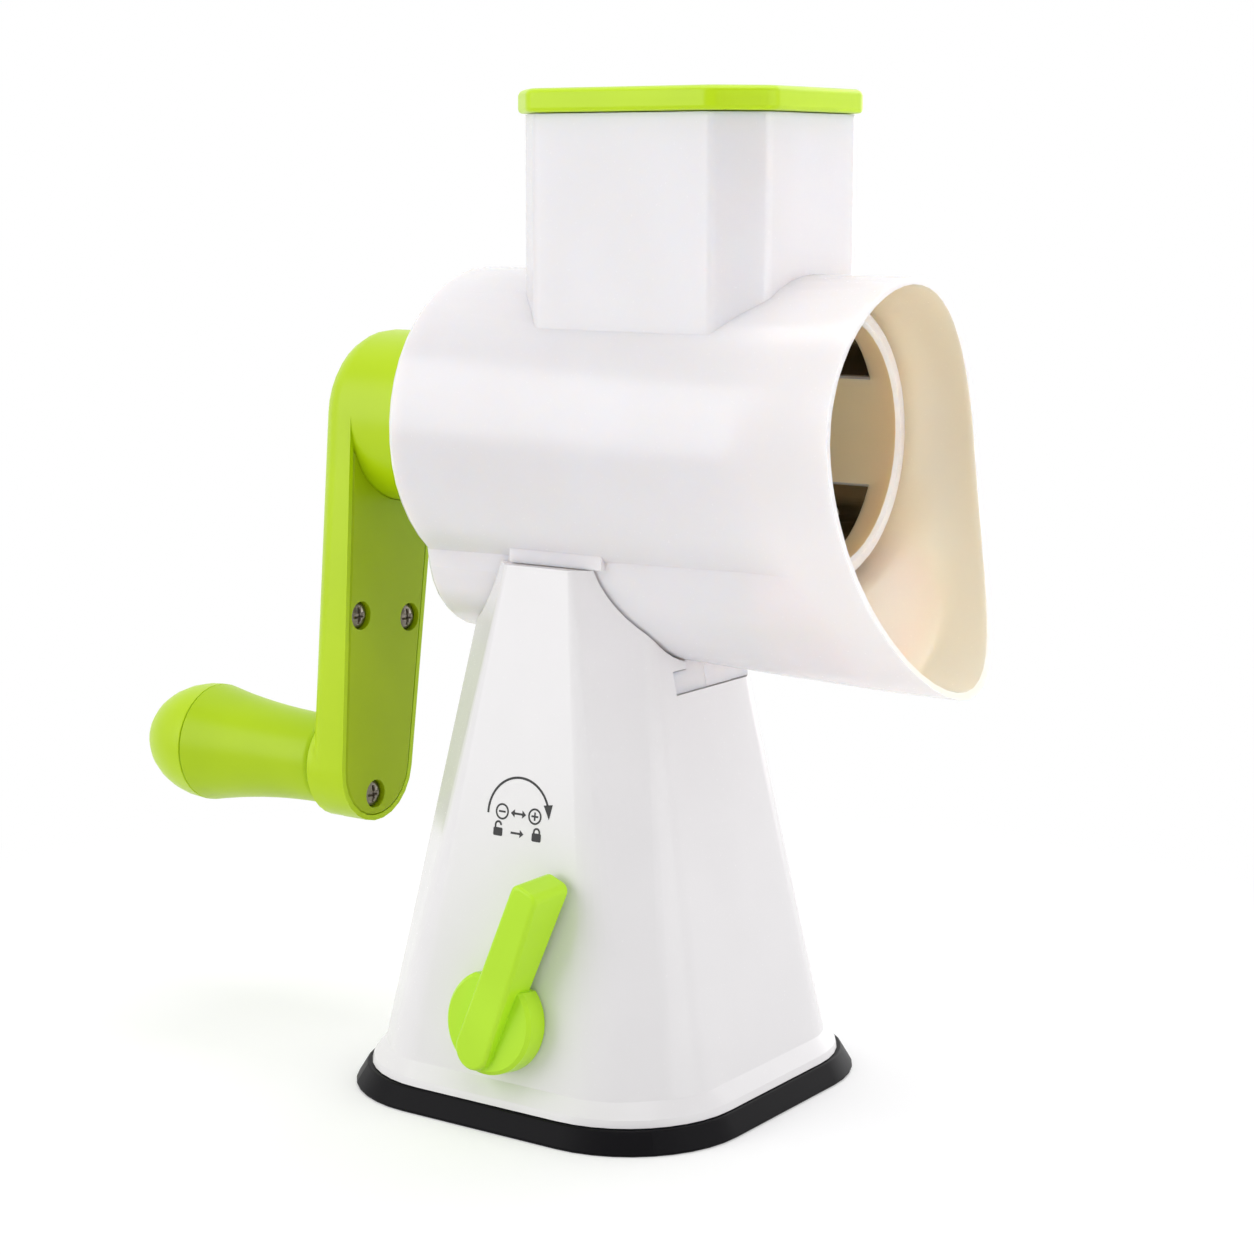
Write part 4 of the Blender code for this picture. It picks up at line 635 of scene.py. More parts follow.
@dataclass
class Maker:
    """Turns bmeshes into dressed objects that ride on a body.

    Attributes:
        finishes: The materials to dress pieces in.
        same_point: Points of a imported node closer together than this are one.
        touching: Points of a new piece closer together than this are one.
        flat_turn: Faces that turn less than this many degrees from each other are one flat face.
        edge_steps: Number of faces that make up a rounded edge.
    """

    finishes: Finishes
    same_point: float = 0.002 * MM
    touching: float = 0.0001 * MM
    flat_turn: float = 0.4
    edge_steps: int = 2

    def piece(
        self, name: str, bm: bmesh.types.BMesh, finish: bpy.types.Material, body: Body, slot: Slot,
        sharp: float,
    ) -> bpy.types.Object:
        """Makes one piece of the scene.

        Args:
            name: Its name.
            bm: Its mesh, which is freed.
            finish: Its material.
            body: The body that it moves with.
            slot: Not used.
            sharp: Angle in degrees over which an edge stays sharp.

        Returns:
            The object, riding on its body.
        """
        bmesh.ops.remove_doubles(bm, verts=bm.verts, dist=self.touching)
        bmesh.ops.recalc_face_normals(bm, faces=bm.faces)
        mesh = bpy.data.meshes.new(name)
        bm.to_mesh(mesh)
        bm.free()
        made = self.show(mesh, finish, sharp)
        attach(made, body.value)
        LOG.info("%s: %d faces on %s", name, len(mesh.polygons), body.value)
        return made

    @staticmethod
    def show(mesh: bpy.types.Mesh, finish: bpy.types.Material, sharp: float) -> bpy.types.Object:
        """Puts a mesh in the scene, dressed and shaded.

        Args:
            mesh: The mesh.
            finish: Its material.
            sharp: Angle in degrees over which an edge stays sharp.

        Returns:
            The object, named after its mesh.
        """
        made = bpy.data.objects.new(mesh.name, mesh)
        bpy.context.scene.collection.objects.link(made)
        mesh.materials.append(finish)
        mesh.shade_smooth()
        mesh.set_sharp_from_angle(angle=math.radians(sharp))
        return made

    def refined(
        self, node: str, finish: bpy.types.Material, body: Body, slot: Slot, edge_mm: float, angle: float,
        grow_mm: float = 0.0, wide: Optional[WideEdges] = None,
    ) -> bpy.types.Object:
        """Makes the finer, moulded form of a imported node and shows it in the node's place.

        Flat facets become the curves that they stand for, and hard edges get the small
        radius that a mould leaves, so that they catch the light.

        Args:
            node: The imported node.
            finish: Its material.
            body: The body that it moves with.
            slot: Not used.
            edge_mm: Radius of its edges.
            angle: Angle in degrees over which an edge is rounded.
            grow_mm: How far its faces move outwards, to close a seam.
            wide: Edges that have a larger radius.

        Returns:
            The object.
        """
        bm = bmesh.new()
        bm.from_mesh(frame["nodes"][node].data)
        bmesh.ops.remove_doubles(bm, verts=bm.verts, dist=self.same_point)
        bmesh.ops.dissolve_limit(bm, angle_limit=math.radians(self.flat_turn), verts=bm.verts, edges=bm.edges)
        mesh = bpy.data.meshes.new(f"{node}_moulded")
        mesh.from_pydata([v.co[:] for v in bm.verts], [], [[v.index for v in f.verts] for f in bm.faces])
        bm.free()
        if wide:
            wide.round_off(mesh, angle)
        made = self.show(mesh, finish, angle)
        if grow_mm:
            grow = made.modifiers.new("closed_seam", "DISPLACE")
            grow.mid_level = 0.0
            grow.strength = grow_mm * MM
        bevel = made.modifiers.new("edge_radius", "BEVEL")
        bevel.width = edge_mm * MM
        bevel.segments = self.edge_steps
        bevel.limit_method = "ANGLE"
        bevel.angle_limit = math.radians(angle)
        weighted = made.modifiers.new("flat_walls", "WEIGHTED_NORMAL")
        weighted.keep_sharp = True
        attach(made, body.value)
        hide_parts(node)
        LOG.info("%s: %d faces on %s", made.name, len(mesh.polygons), body.value)
        return made


def add_strip(bm: bmesh.types.BMesh, rows: Sequence[Sequence[Vector]], closed: bool = False) -> None:
    """Joins rows of points with faces.

    Args:
        bm: The mesh to add to.
        rows: Rows of the same number of points.
        closed: Whether each row runs round to its start.
    """
    made = [[bm.verts.new(p) for p in row] for row in rows]
    count = len(made[0])
    for low, high in zip(made, made[1:]):
        for i in range(count if closed else count - 1):
            j = (i + 1) % count
            bm.faces.new((low[i], low[j], high[j], high[i]))


def add_plate(
    bm: bmesh.types.BMesh, outline: Sequence[Point], place: Callable[[float, float, float], Vector],
    low: float, high: float,
) -> None:
    """Adds a thin plate with a flat outline.

    Args:
        bm: The mesh to add to.
        outline: Its corners, in the plane.
        place: Turns a point of the plane and a height over it into space.
        low: Height of its underside.
        high: Height of its upper side.
    """
    rows = [[bm.verts.new(place(x, y, h)) for x, y in outline] for h in (low, high)]
    for i in range(len(outline)):
        j = (i + 1) % len(outline)
        bm.faces.new((rows[0][i], rows[0][j], rows[1][j], rows[1][i]))
    bm.faces.new(rows[0])
    bm.faces.new(rows[1])


def arc_points(centre: Point, radius: float, start: float, end: float, steps: int) -> list[Point]:
    """Points along an arc, with angles in degrees.

    Args:
        centre: Middle of the arc.
        radius: Its radius.
        start: Angle of its first point.
        end: Angle of its last point.
        steps: Number of parts.

    Returns:
        The points, first to last.
    """
    angles = [math.radians(start + (end - start) * i / steps) for i in range(steps + 1)]
    return [(centre[0] + radius * math.cos(a), centre[1] + radius * math.sin(a)) for a in angles]


def band(centre: Point, radius: float, width: float, start: float, end: float, steps: int) -> list[Point]:
    """Outline of a curved band of one width, from start to end in degrees."""
    outer = arc_points(centre, radius + width / 2, start, end, steps)
    return outer + arc_points(centre, radius - width / 2, end, start, steps)


def bar(start: Point, end: Point, width: float) -> list[Point]:
    """Outline of a straight bar.

    Args:
        start: Middle of its one end.
        end: Middle of the other.
        width: Its width.

    Returns:
        Its corners.
    """
    dx, dy = end[0] - start[0], end[1] - start[1]
    share = width / 2 / math.hypot(dx, dy)
    sx, sy = -dy * share, dx * share
    low = [(start[0] - sx, start[1] - sy), (end[0] - sx, end[1] - sy)]
    return low + [(end[0] + sx, end[1] + sy), (start[0] + sx, start[1] + sy)]


@dataclass
class TurningMark:
    """The printed mark over the lever: an arc with an arrowhead over plain loosen and tighten signs.

    Attributes:
        middle: Place of the arc's middle, to the right of the tower's.
        height: Its height over the table.
        line: Width of the lines.
        gap: Height of the film's underside over the panel.
        film: Height of its upper side.
        arc: Angles in degrees where the arc starts and ends.
        head: Two corners of the arc's arrowhead, from the arc's right end.
        ring_row: Height of the rings over the arc's middle.
        ring_arrow: Half the length of the arrow between them.
        lock_row: Height of the padlocks' lower edges over the arc's middle.
        lock_arrow: Half the length of the arrow between them.
        lock_arrow_up: Its height over their lower edges.
    """

    maker: Maker
    wall: FrontWall = field(default_factory=FrontWall)
    middle: float = 1.3 * MM
    height: float = 85.6 * MM
    radius: float = 10.4 * MM
    line: float = 0.65 * MM
    gap: float = 0.01 * MM
    film: float = 0.06 * MM
    arc: Point = (22.0, 182.0)
    head: tuple[Point, Point] = ((-2.1 * MM, 3.9 * MM), (0.9 * MM, 4.4 * MM))
    ring_reach: float = 5.6 * MM
    ring_row: float = 0.5 * MM
    ring_radius: float = 2.0 * MM
    ring_arrow: float = 2.6 * MM
    lock_reach: float = 6.6 * MM
    lock_row: float = -6.3 * MM
    lock_arrow: float = 2.2 * MM
    lock_arrow_up: float = 1.4 * MM

    def build(self) -> None:
        """Builds the mark on the front panel."""
        bm = bmesh.new()
        for outline in self.outlines():
            add_plate(bm, outline, self.place, self.gap, self.film)
        self.maker.piece("turning_mark", bm, self.maker.finishes.ink, Body.BASE, Slot.RUBBER, 20.0)

    def place(self, across: float, up: float, out: float) -> Vector:
        """A point of the mark, measured from the arc's middle."""
        return self.wall.at(self.middle + across, self.height + up, out)

    def outlines(self) -> list[list[Point]]:
        """All the shapes of the mark.

        Returns:
            Their outlines, measured from the arc's middle.
        """
        shapes = [band((0, 0), self.radius, self.line, self.arc[0], self.arc[1], 40)]
        tip = math.radians(1)
        corners = [(self.radius + x, y) for x, y in self.head]
        shapes.append([(self.radius * math.cos(tip), self.radius * math.sin(tip)), *corners])
        # Loosen, two way arrow, tighten
        shapes += self.ring_with_sign((-self.ring_reach, self.ring_row), False)
        shapes += self.arrow((0, self.ring_row), self.ring_arrow, two_way=True)
        shapes += self.ring_with_sign((self.ring_reach, self.ring_row), True)
        # Open padlock, arrow, closed padlock
        shapes += self.padlock((-self.lock_reach, self.lock_row), True)
        shapes += self.arrow((0, self.lock_row + self.lock_arrow_up), self.lock_arrow, two_way=False)
        shapes += self.padlock((self.lock_reach, self.lock_row), False)
        return shapes

    def ring_with_sign(self, at: Point, plus: bool) -> list[list[Point]]:
        """A small ring with a minus or a plus in it.

        Args:
            at: Its middle.
            plus: Whether it holds a plus.

        Returns:
            The outlines.
        """
        x, y = at
        line, reach = self.line * 0.8, 1.15 * MM
        shapes = [band(at, self.ring_radius, line, start, start + 180, 14) for start in (0, 180)]
        shapes.append(bar((x - reach, y), (x + reach, y), line))
        if plus:
            shapes.append(bar((x, y + line / 2), (x, y + reach), line))
            shapes.append(bar((x, y - reach), (x, y - line / 2), line))
        return shapes

    def arrow(self, at: Point, reach: float, two_way: bool) -> list[list[Point]]:
        """A short arrow with a head at its right end, or at both.

        Args:
            at: Its middle.
            reach: Half its length.
            two_way: Whether it has two heads.

        Returns:
            The outlines.
        """
        head, half = 1.3 * MM, 1.1 * MM
        x, y = at
        left = x - reach + head if two_way else x - reach
        shapes = [bar((left, y), (x + reach - head, y), self.line * 0.9)]
        shapes.append([(x + reach, y), (x + reach - head, y + half), (x + reach - head, y - half)])
        if two_way:
            shapes.append([(x - reach, y), (x - reach + head, y - half), (x - reach + head, y + half)])
        return shapes

    def padlock(self, at: Point, opened: bool) -> list[list[Point]]:
        """A padlock with its shackle shut or swung up.

        Args:
            at: Middle of the lower edge.
            opened: Whether the shackle stands open.

        Returns:
            The outlines.
        """
        x, y = at
        half, tall, corner = 1.55 * MM, 2.3 * MM, 0.4 * MM
        body = []
        for cx, cy, start in ((half, tall, 0), (-half, tall, 90), (-half, 0, 180), (half, 0, 270)):
            inner = (x + cx - math.copysign(corner, cx), y + cy + (corner if cy == 0 else -corner))
            body += arc_points(inner, corner, start, start + 90, 4)
        shackle, lift = 0.95 * MM, (0.7 * MM if opened else 0.3 * MM)
        line = self.line * 0.85
        shapes = [body, band((x, y + tall + lift), shackle, line, 0, 180, 14)]
        for side in (-shackle,) if opened else (-shackle, shackle):
            shapes.append(bar((x + side, y + tall), (x + side, y + tall + lift), line))
        return shapes


@dataclass
class BladeCutters:
    """The half round cutters that are punched up beside the holes of the blades, and the holes' rims.

    Attributes:
        windows: Number of blade plates.
        rib_half: Half the angle of a rib between two plates.
        left: Left end of the plates, from the base's middle.
        right: Their right end.
        rows: Rows of holes round a plate.
        row_spread: How far the rows spread, as a share of half the plate's angle.
        rise: Height of a cutter's lip.
        hood_length: Length of a cutter behind the hole's middle, in hole radii.
        hood_over: How far its lip reaches over the hole, in hole radii.
        hood_width: Its half width, in hole radii.
        hood_margin: What is added to that.
        hood_proud: How far its upper side stands over the plate where it starts.
        hood_steps: Faces of a cutter along it and across it.
        burr_profile: A rim's section in mm, as distance from the hole's edge and height over the sheet.
        burr_steps: Faces round a rim.
    """

    maker: Maker
    axis: DrumAxis = field(default_factory=DrumAxis)
    windows: int = 3
    rib_half: float = math.radians(25)
    left: float = -17.5 * MM
    right: float = 67.5 * MM
    rows: int = 3
    columns: int = 8
    row_spread: float = 1.625
    hole_radius: float = 2.6 * MM
    plate_outer: float = 36.3 * MM
    plate_inner: float = 35.7 * MM
    rise: float = 0.85 * MM
    sheet: float = 0.35 * MM
    hood_length: float = 1.25
    hood_over: float = 0.1
    hood_width: float = 1.06
    hood_margin: float = 0.05 * MM
    hood_proud: float = 0.02 * MM
    hood_steps: tuple[int, int] = (6, 10)
    burr_profile: tuple[Point, ...] = ((0.75, 0.0), (0.55, 0.2), (0.2, 0.26), (0.02, 0.16), (0.02, -0.1))
    burr_steps: int = 20

    def build(self) -> None:
        """Builds the cutters and the rims of each plate."""
        finishes = self.maker.finishes
        for index in range(self.windows):
            for name, add, finish in (
                ("blade_cutters", self.hood, finishes.blade),
                ("blade_burrs", self.burr, finishes.burr),
            ):
                bm = bmesh.new()
                for x, angle in self.holes(index):
                    add(bm, x, angle)
                self.maker.piece(f"{name}_{index + 1}", bm, finish, Body.DRUM, Slot.BLADE, 50.0)

    def holes(self, index: int) -> Iterator[Point]:
        """Places of the holes of one plate, where every other row is half a step further along.

        Args:
            index: Number of its window.

        Yields:
            A hole's place along X and round the axis.
        """
        half = math.pi / self.windows - self.rib_half
        middle = math.pi / self.windows + 2 * math.pi * index / self.windows
        for row in range(self.rows):
            angle = middle + half * self.row_spread * ((row + 0.5) / self.rows - 0.5)
            first = 1.0 if row % 2 else 0.5
            for column in range(self.columns):
                share = (column + first) / (self.columns + 0.5)
                yield self.left + (self.right - self.left) * share, angle

    def burr(self, bm: bmesh.types.BMesh, x: float, angle: float) -> None:
        """Adds the rim that the punch leaves round a hole, on the drum's inner side, whose pale finish is a
        painted glint.

        Args:
            bm: The mesh to add to.
            x: Place of the hole along the drum.
            angle: Place of the hole round the drum.
        """
        turns = [2 * math.pi * i / self.burr_steps for i in range(self.burr_steps)]
        rows = []
        for out, height in self.burr_profile:
            wide = self.hole_radius + out * MM
            radius = self.plate_inner - height * MM
            rows.append([
                self.axis.at(x + wide * math.cos(turn), radius, angle + wide * math.sin(turn) / radius)
                for turn in turns
            ])
        add_strip(bm, rows, closed=True)

    def hood(self, bm: bmesh.types.BMesh, x: float, angle: float) -> None:
        """Adds one cutter: a shell that rises from the plate to a cutting lip over the hole.

        Args:
            bm: The mesh to add to.
            x: Place of the hole along the drum.
            angle: Place of the hole round the drum.
        """
        along, across = self.hood_steps
        shares = [i / along for i in range(along + 1)]
        sides = [2 * j / across - 1 for j in range(across + 1)]
        reach = self.hole_radius * self.hood_length
        sunk = self.sheet - self.hood_proud
        sheets = []
        for thick in (0.0, self.sheet):
            rows = []
            for share in shares:
                back = -reach + (reach + self.hood_over * self.hole_radius) * share
                round_off = math.sqrt(max(0.0, 1 - (back / reach) ** 2))
                half = self.hole_radius * round_off * self.hood_width + self.hood_margin
                row = []
                for side in sides:
                    lift = self.rise * math.sin(share * math.pi / 2) * math.sqrt(max(0.0, 1 - side * side))
                    radius = self.plate_outer - sunk + lift + thick
                    row.append(self.axis.at(x + half * side, radius, angle + back / self.plate_outer))
                rows.append(row)
            sheets.append(rows)
            add_strip(bm, rows)
        add_strip(bm, [rows[-1] for rows in sheets])


@dataclass
class SuctionBase:
    """The tower with its rubber pad and the lever that works it, with the radii of their edges."""

    maker: Maker
    wall_edge_mm: float = 0.45
    rubber_edge_mm: float = 0.9
    lever_edge_mm: float = 0.75

    def build(self) -> None:
        """Builds the tower, the pad and the lever."""
        finishes = self.maker.finishes
        self.maker.refined("base_tower", finishes.white, Body.BASE, Slot.WHITE, self.wall_edge_mm, 20.0)
        self.maker.refined("suction_pad", finishes.rubber, Body.BASE, Slot.RUBBER, self.rubber_edge_mm, 22.0)
        self.maker.refined("lever_knob", finishes.lever, Body.LEVER, Slot.GREEN, self.lever_edge_mm, 34.0)


@dataclass
class FeedHousing:
    """The drum chamber with its chute, and the pusher in it, with the radii of their edges.

    Attributes:
        lip_start: The edges of the mouth's rounded lip lie beyond this, along X.
    """

    maker: Maker
    wall_edge_mm: float = 0.35
    lid_edge_mm: float = 0.6
    lip_edge_mm: float = 0.85
    lip_start: float = 110.0 * MM

    def build(self) -> None:
        """Builds the housing and the pusher."""
        finishes = self.maker.finishes
        lip = WideEdges(self.lip_edge_mm, lambda point: point.x > self.lip_start)
        self.maker.refined(
            "drum_housing", finishes.housing, Body.HOUSING, Slot.WHITE, self.wall_edge_mm, 26.0, wide=lip,
        )
        self.maker.refined("pusher_cap", finishes.lid, Body.PUSHER, Slot.GREEN, self.lid_edge_mm, 40.0)
        self.maker.refined("pusher_body", finishes.white, Body.PUSHER, Slot.WHITE, self.wall_edge_mm, 30.0)


@dataclass
class CrossHead:
    """The pan head of a crank screw, with the cross recess pressed into its dome.

    Attributes:
        proud: Height of the dome's rim over the plain solid's head.
        side: Height of the head's side.
        slot_half: Half the width of the cross's arms.
        slot_reach: Their length from the middle.
        slot_bank: Width of their sloping walls.
        rings: Rings of the dome's mesh.
        steps: Points on each ring.
    """

    maker: Maker
    radius: float = 3.7 * MM
    dome: float = 0.9 * MM
    proud: float = 0.5 * MM
    side: float = 1.6 * MM
    slot_half: float = 0.72 * MM
    slot_reach: float = 2.5 * MM
    slot_depth: float = 1.35 * MM
    slot_bank: float = 0.3 * MM
    rings: int = 22
    steps: int = 72

    def sunk(self, across: float, up: float) -> float:
        """Depth of the cross recess at a point of the head.

        Args:
            across: Distance from its middle along one arm of the cross.
            up: Distance along the other arm.

        Returns:
            The depth under the dome.
        """
        deepest = 0.0
        for along, side in ((abs(across), abs(up)), (abs(up), abs(across))):
            bank = min(1.0, max(0.0, (self.slot_half - side) / self.slot_bank))
            end = min(1.0, max(0.0, (self.slot_reach - along) / (2 * self.slot_bank)))
            deepest = max(deepest, bank * end)
        return deepest * self.slot_depth

    def build(self, index: int) -> None:
        """Builds the head of one screw.

        Args:
            index: Its number.
        """
        low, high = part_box(f"crank_screw_{index}")
        middle = Vector((high[0], (low[1] + high[1]) / 2, (low[2] + high[2]) / 2))
        turns = [2 * math.pi * step / self.steps for step in range(self.steps)]
        rows = []
        for ring in range(1, self.rings + 1):
            share = ring / self.rings
            row = []
            for turn in turns:
                y, z = self.radius * share * math.cos(turn), self.radius * share * math.sin(turn)
                rise = self.proud + self.dome * (1 - share ** 2) - self.sunk(y, z)
                row.append(middle + Vector((rise, y, z)))
            rows.append(row)
        # The side, a little fuller than the dome's rim, and the edge of the underside
        for share, down in ((1.02, 0.3), (1.0, 1.0), (0.8, 1.05)):
            reach, x = self.radius * share, self.proud - self.side * down
            rows.append([
                middle + Vector((x, reach * math.cos(turn), reach * math.sin(turn))) for turn in turns
            ])
        bm = bmesh.new()
        add_strip(bm, rows, closed=True)
        bmesh.ops.holes_fill(bm, edges=bm.edges, sides=0)
        finish = self.maker.finishes.screw
        self.maker.piece(f"crank_screw_head_{index}", bm, finish, Body.CRANK, Slot.STEEL, 40.0)


@dataclass
class Crank:
    """The arm with its cover and screws, and the grip, with the radii of their edges.

    Attributes:
        seam_fill_mm: How far the cover grows, so that its seam is a fine line.
    """

    maker: Maker
    arm_edge_mm: float = 0.4
    seam_edge_mm: float = 0.12
    seam_fill_mm: float = 0.2
    grip_edge_mm: float = 0.3
    screw_edge_mm: float = 0.12
    screws: int = 3

    def build(self) -> None:
        """Builds the crank from the arm outwards."""
        finishes = self.maker.finishes
        self.maker.refined("crank_arm", finishes.green, Body.CRANK, Slot.GREEN, self.arm_edge_mm, 36.0)
        self.maker.refined(
            "crank_cover", finishes.cover, Body.CRANK, Slot.GREEN, self.seam_edge_mm, 36.0, self.seam_fill_mm,
        )
        for index in range(1, self.screws + 1):
            name = f"crank_screw_{index}"
            self.maker.refined(name, finishes.screw, Body.CRANK, Slot.STEEL, self.screw_edge_mm, 30.0)
            CrossHead(self.maker).build(index)
        self.maker.refined("grip_sleeve", finishes.grip, Body.GRIP, Slot.GREEN, self.grip_edge_mm, 36.0)
        self.maker.refined("grip_cap", finishes.green, Body.GRIP, Slot.GREEN, self.grip_edge_mm, 36.0)


@dataclass
class BladeDrum:
    """The drum's plastic cage and its three blade plates, with the radii of their edges."""

    maker: Maker
    edge_mm: float = 0.3
    sheet_edge_mm: float = 0.14
    plates: int = 3

    def build(self) -> None:
        """Builds the cage, the plates and their cutters."""
        finishes = self.maker.finishes
        self.maker.refined("drum_cage", finishes.cream, Body.DRUM, Slot.WHITE, self.edge_mm, 30.0)
        for index in range(1, self.plates + 1):
            name = f"blade_plate_{index}"
            self.maker.refined(name, finishes.blade, Body.DRUM, Slot.BLADE, self.sheet_edge_mm, 40.0)
        BladeCutters(self.maker, windows=self.plates).build()


class Slicer:
    """The whole slicer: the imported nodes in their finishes, and the pieces added to them."""

    def __init__(self) -> None:
        """Makes the finishes."""
        self.finishes = Finishes()
        self.maker = Maker(self.finishes)

    def dress_nodes(self) -> None:
        """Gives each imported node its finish."""
        slots = {part["node"]: part["material_slot"] for part in frame["record"]["subparts"]}
        for name, node in frame["nodes"].items():
            finish = self.finishes.of_node(name, slots[name])
            node.data.materials.clear()
            node.data.materials.append(finish)
            LOG.info("%s: %s", name, finish.name)

    def build(self) -> None:
        """Dresses the nodes and adds the pieces, in order."""
        self.dress_nodes()
        SuctionBase(self.maker).build()
        TurningMark(self.maker).build()
        FeedHousing(self.maker).build()
        Crank(self.maker).build()
        BladeDrum(self.maker).build()


@dataclass(frozen=True)
class SoftLamp:
    """One square soft lamp.

    Attributes:
        name: Its name.
        place: Where it stands.
        aim: The point that it faces.
        size: Its width.
        power: Its power in watts.
        spread: Angle in degrees that its grid lets through.
        mirrored: Whether glossy surfaces show it.
    """

    name: str
    place: Triple
    aim: Triple
    size: float
    power: float
    spread: float = 180.0
    mirrored: bool = True

    def add(self) -> None:
        """Adds the lamp to the scene."""
        data = bpy.data.lights.new(self.name, "AREA")
        data.shape = "SQUARE"
        data.size = self.size
        data.energy = self.power
        data.spread = math.radians(self.spread)
        lamp = bpy.data.objects.new(self.name, data)
        lamp.location = self.place
        lamp.visible_glossy = self.mirrored
        lamp.rotation_euler = (Vector(self.aim) - Vector(self.place)).to_track_quat("-Z", "Y").to_euler()
        bpy.context.scene.collection.objects.link(lamp)


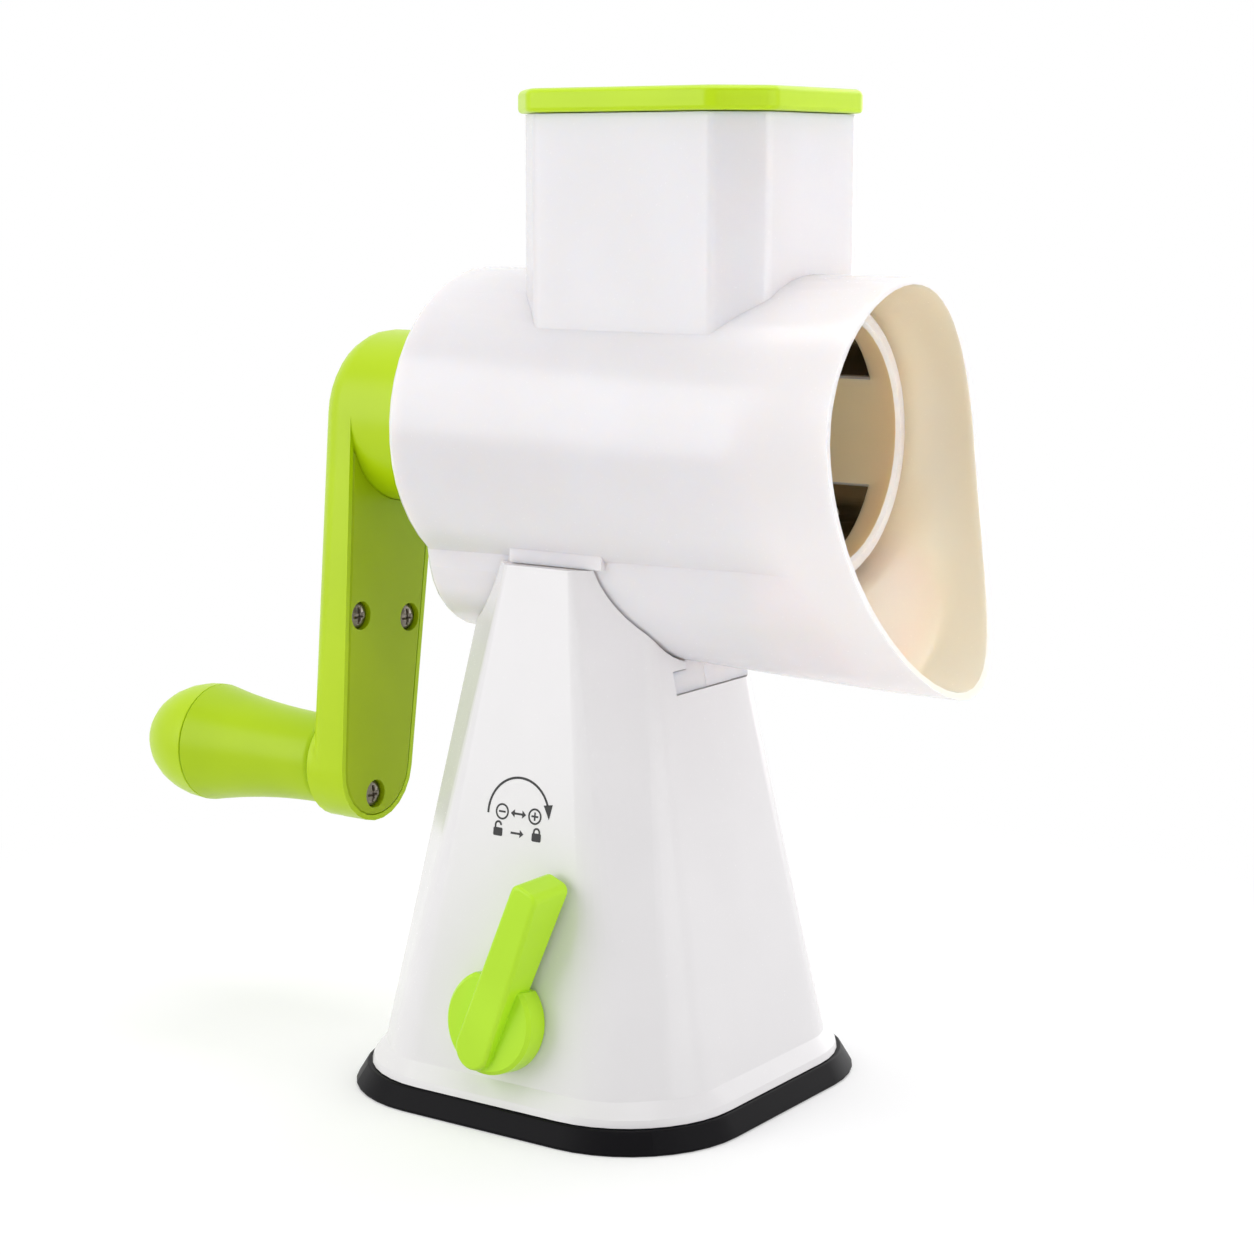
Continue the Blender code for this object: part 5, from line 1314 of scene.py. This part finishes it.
@dataclass
class Studio:
    """A pale floor, a white backdrop, soft lamps and the camera.

    Attributes:
        camera_place: Where the camera stands.
        camera_turn: How it is turned, in degrees.
        lens_mm: Its focal length.
        floor_half: Half the width of the floor.
        shadow_start: The floor fades to white from this far off its middle.
        shadow_end: It is white from here on.
        shadow_paper: How much light the paper gives back beside the object.
        shadow_glow: What is added to it, so that its shadow stays pale.
        soft_light: Colour of the light from all round.
        soft_strength: Strength of that light.
        lamps: The lamps.
    """

    camera_place: Triple = (0.46321682, -0.62814601, 0.25975418)
    camera_turn: Triple = (80.5752, -0.0625, 34.6005)
    lens_mm: float = 78.0
    floor_half: float = 4.0
    shadow_start: float = 0.14
    shadow_end: float = 0.34
    shadow_paper: float = 0.74
    shadow_glow: float = 0.31
    soft_light: Triple = (0.99, 0.99, 1.0)
    soft_strength: float = 0.43
    lamps: tuple[SoftLamp, ...] = (
        SoftLamp("key_softbox", (-0.62, -0.82, 0.45), (0.0, 0.0, 0.12), 0.8, 4.6),
        SoftLamp("side_softbox", (1.0, 0.0, 0.36), (0.04, 0.0, 0.12), 0.8, 3.0),
        SoftLamp("mouth_softbox", (0.78, -0.42, 0.22), (0.12, 0.0, 0.2), 0.14, 0.014, 10.0, mirrored=False),
        SoftLamp("back_softbox", (0.12, 1.05, 0.42), (0.04, 0.0, 0.14), 0.9, 4.1),
        SoftLamp("top_softbox", (0.0, 0.1, 1.05), (0.0, 0.0, 0.1), 0.9, 5.05),
    )

    def build(self) -> None:
        """Sets up the whole studio."""
        self.add_camera()
        self.add_floor()
        self.add_world()
        for lamp in self.lamps:
            lamp.add()
        bpy.context.scene.view_settings.view_transform = "Standard"

    def add_camera(self) -> None:
        """Adds the camera at the photograph's place."""
        data = bpy.data.cameras.new("camera")
        data.lens = self.lens_mm
        data.sensor_width = 36.0
        data.clip_end = 50.0
        camera = bpy.data.objects.new("camera", data)
        camera.location = self.camera_place
        camera.rotation_euler = Euler([math.radians(a) for a in self.camera_turn])
        bpy.context.scene.collection.objects.link(camera)
        bpy.context.scene.camera = camera

    @staticmethod
    def seen_directly(tree: bpy.types.NodeTree) -> bpy.types.NodeSocket:
        """Tells rays that show a thing from those that light other things.

        Args:
            tree: The material's or the world's tree.

        Returns:
            1 for rays from the camera and for mirrored or refracted ones, and else 0.
        """
        path = add_node(tree, "ShaderNodeLightPath").outputs
        shown = path["Is Camera Ray"]
        for name in ("Is Glossy Ray", "Is Transmission Ray"):
            either = add_node(tree, "ShaderNodeMath", {0: shown, 1: path[name]}, operation="MAXIMUM")
            shown = either.outputs[0]
        return shown

    def add_floor(self) -> None:
        """Adds the floor, which keeps the shadow and otherwise shows white."""
        bm = bmesh.new()
        bmesh.ops.create_grid(bm, x_segments=4, y_segments=4, size=self.floor_half)
        mesh = bpy.data.meshes.new("floor")
        bm.to_mesh(mesh)
        bm.free()
        floor = bpy.data.objects.new("floor", mesh)
        bpy.context.scene.collection.objects.link(floor)
        mesh.materials.append(self.make_paper())

    def make_paper(self) -> bpy.types.Material:
        """Makes the floor's matt white paper, a little soft in its shadow.

        Returns:
            The material.
        """
        paper = bpy.data.materials.new("white_paper_sweep")
        paper.use_nodes = True
        tree = paper.node_tree
        tree.nodes.clear()
        grey = (self.shadow_paper, self.shadow_paper, self.shadow_paper, 1.0)
        plain = add_node(tree, "ShaderNodeBsdfDiffuse", {"Color": linear("#efefef")}).outputs[0]
        shadow = add_node(tree, "ShaderNodeBsdfDiffuse", {"Color": grey}).outputs[0]
        glow = add_node(tree, "ShaderNodeEmission", {"Strength": self.shadow_glow}).outputs[0]
        near = add_node(tree, "ShaderNodeAddShader", {0: shadow, 1: glow}).outputs[0]
        white = add_node(tree, "ShaderNodeEmission").outputs[0]
        place = add_node(tree, "ShaderNodeTexCoord").outputs["Object"]
        away = add_node(tree, "ShaderNodeVectorMath", {0: place}, operation="LENGTH").outputs["Value"]
        fade = add_node(
            tree, "ShaderNodeMapRange",
            {"Value": away, "From Min": self.shadow_start, "From Max": self.shadow_end},
            interpolation_type="SMOOTHSTEP",
        ).outputs["Result"]
        shown = add_node(tree, "ShaderNodeMixShader", {"Fac": fade, 1: near, 2: white}).outputs[0]
        mixed = add_node(
            tree, "ShaderNodeMixShader", {"Fac": self.seen_directly(tree), 1: plain, 2: shown},
        ).outputs[0]
        add_node(tree, "ShaderNodeOutputMaterial", {"Surface": mixed})
        return paper

    def add_world(self) -> None:
        """Lights everything softly from all round, and shows a white backdrop."""
        world = bpy.data.worlds.new("studio")
        bpy.context.scene.world = world
        world.use_nodes = True
        tree = world.node_tree
        tree.nodes.clear()
        soft = add_node(
            tree, "ShaderNodeBackground", {"Color": (*self.soft_light, 1.0), "Strength": self.soft_strength},
        ).outputs[0]
        white = add_node(tree, "ShaderNodeBackground", {"Color": (1.0, 1.0, 1.0, 1.0)}).outputs[0]
        mixed = add_node(
            tree, "ShaderNodeMixShader", {"Fac": self.seen_directly(tree), 1: soft, 2: white},
        ).outputs[0]
        add_node(tree, "ShaderNodeOutputWorld", {"Surface": mixed})


def main() -> None:
    """Builds the scene."""
    logging.basicConfig(level=logging.INFO, format="%(name)s: %(message)s")
    Studio().build()
    Slicer().build()


if __name__ == "__main__":
    main()
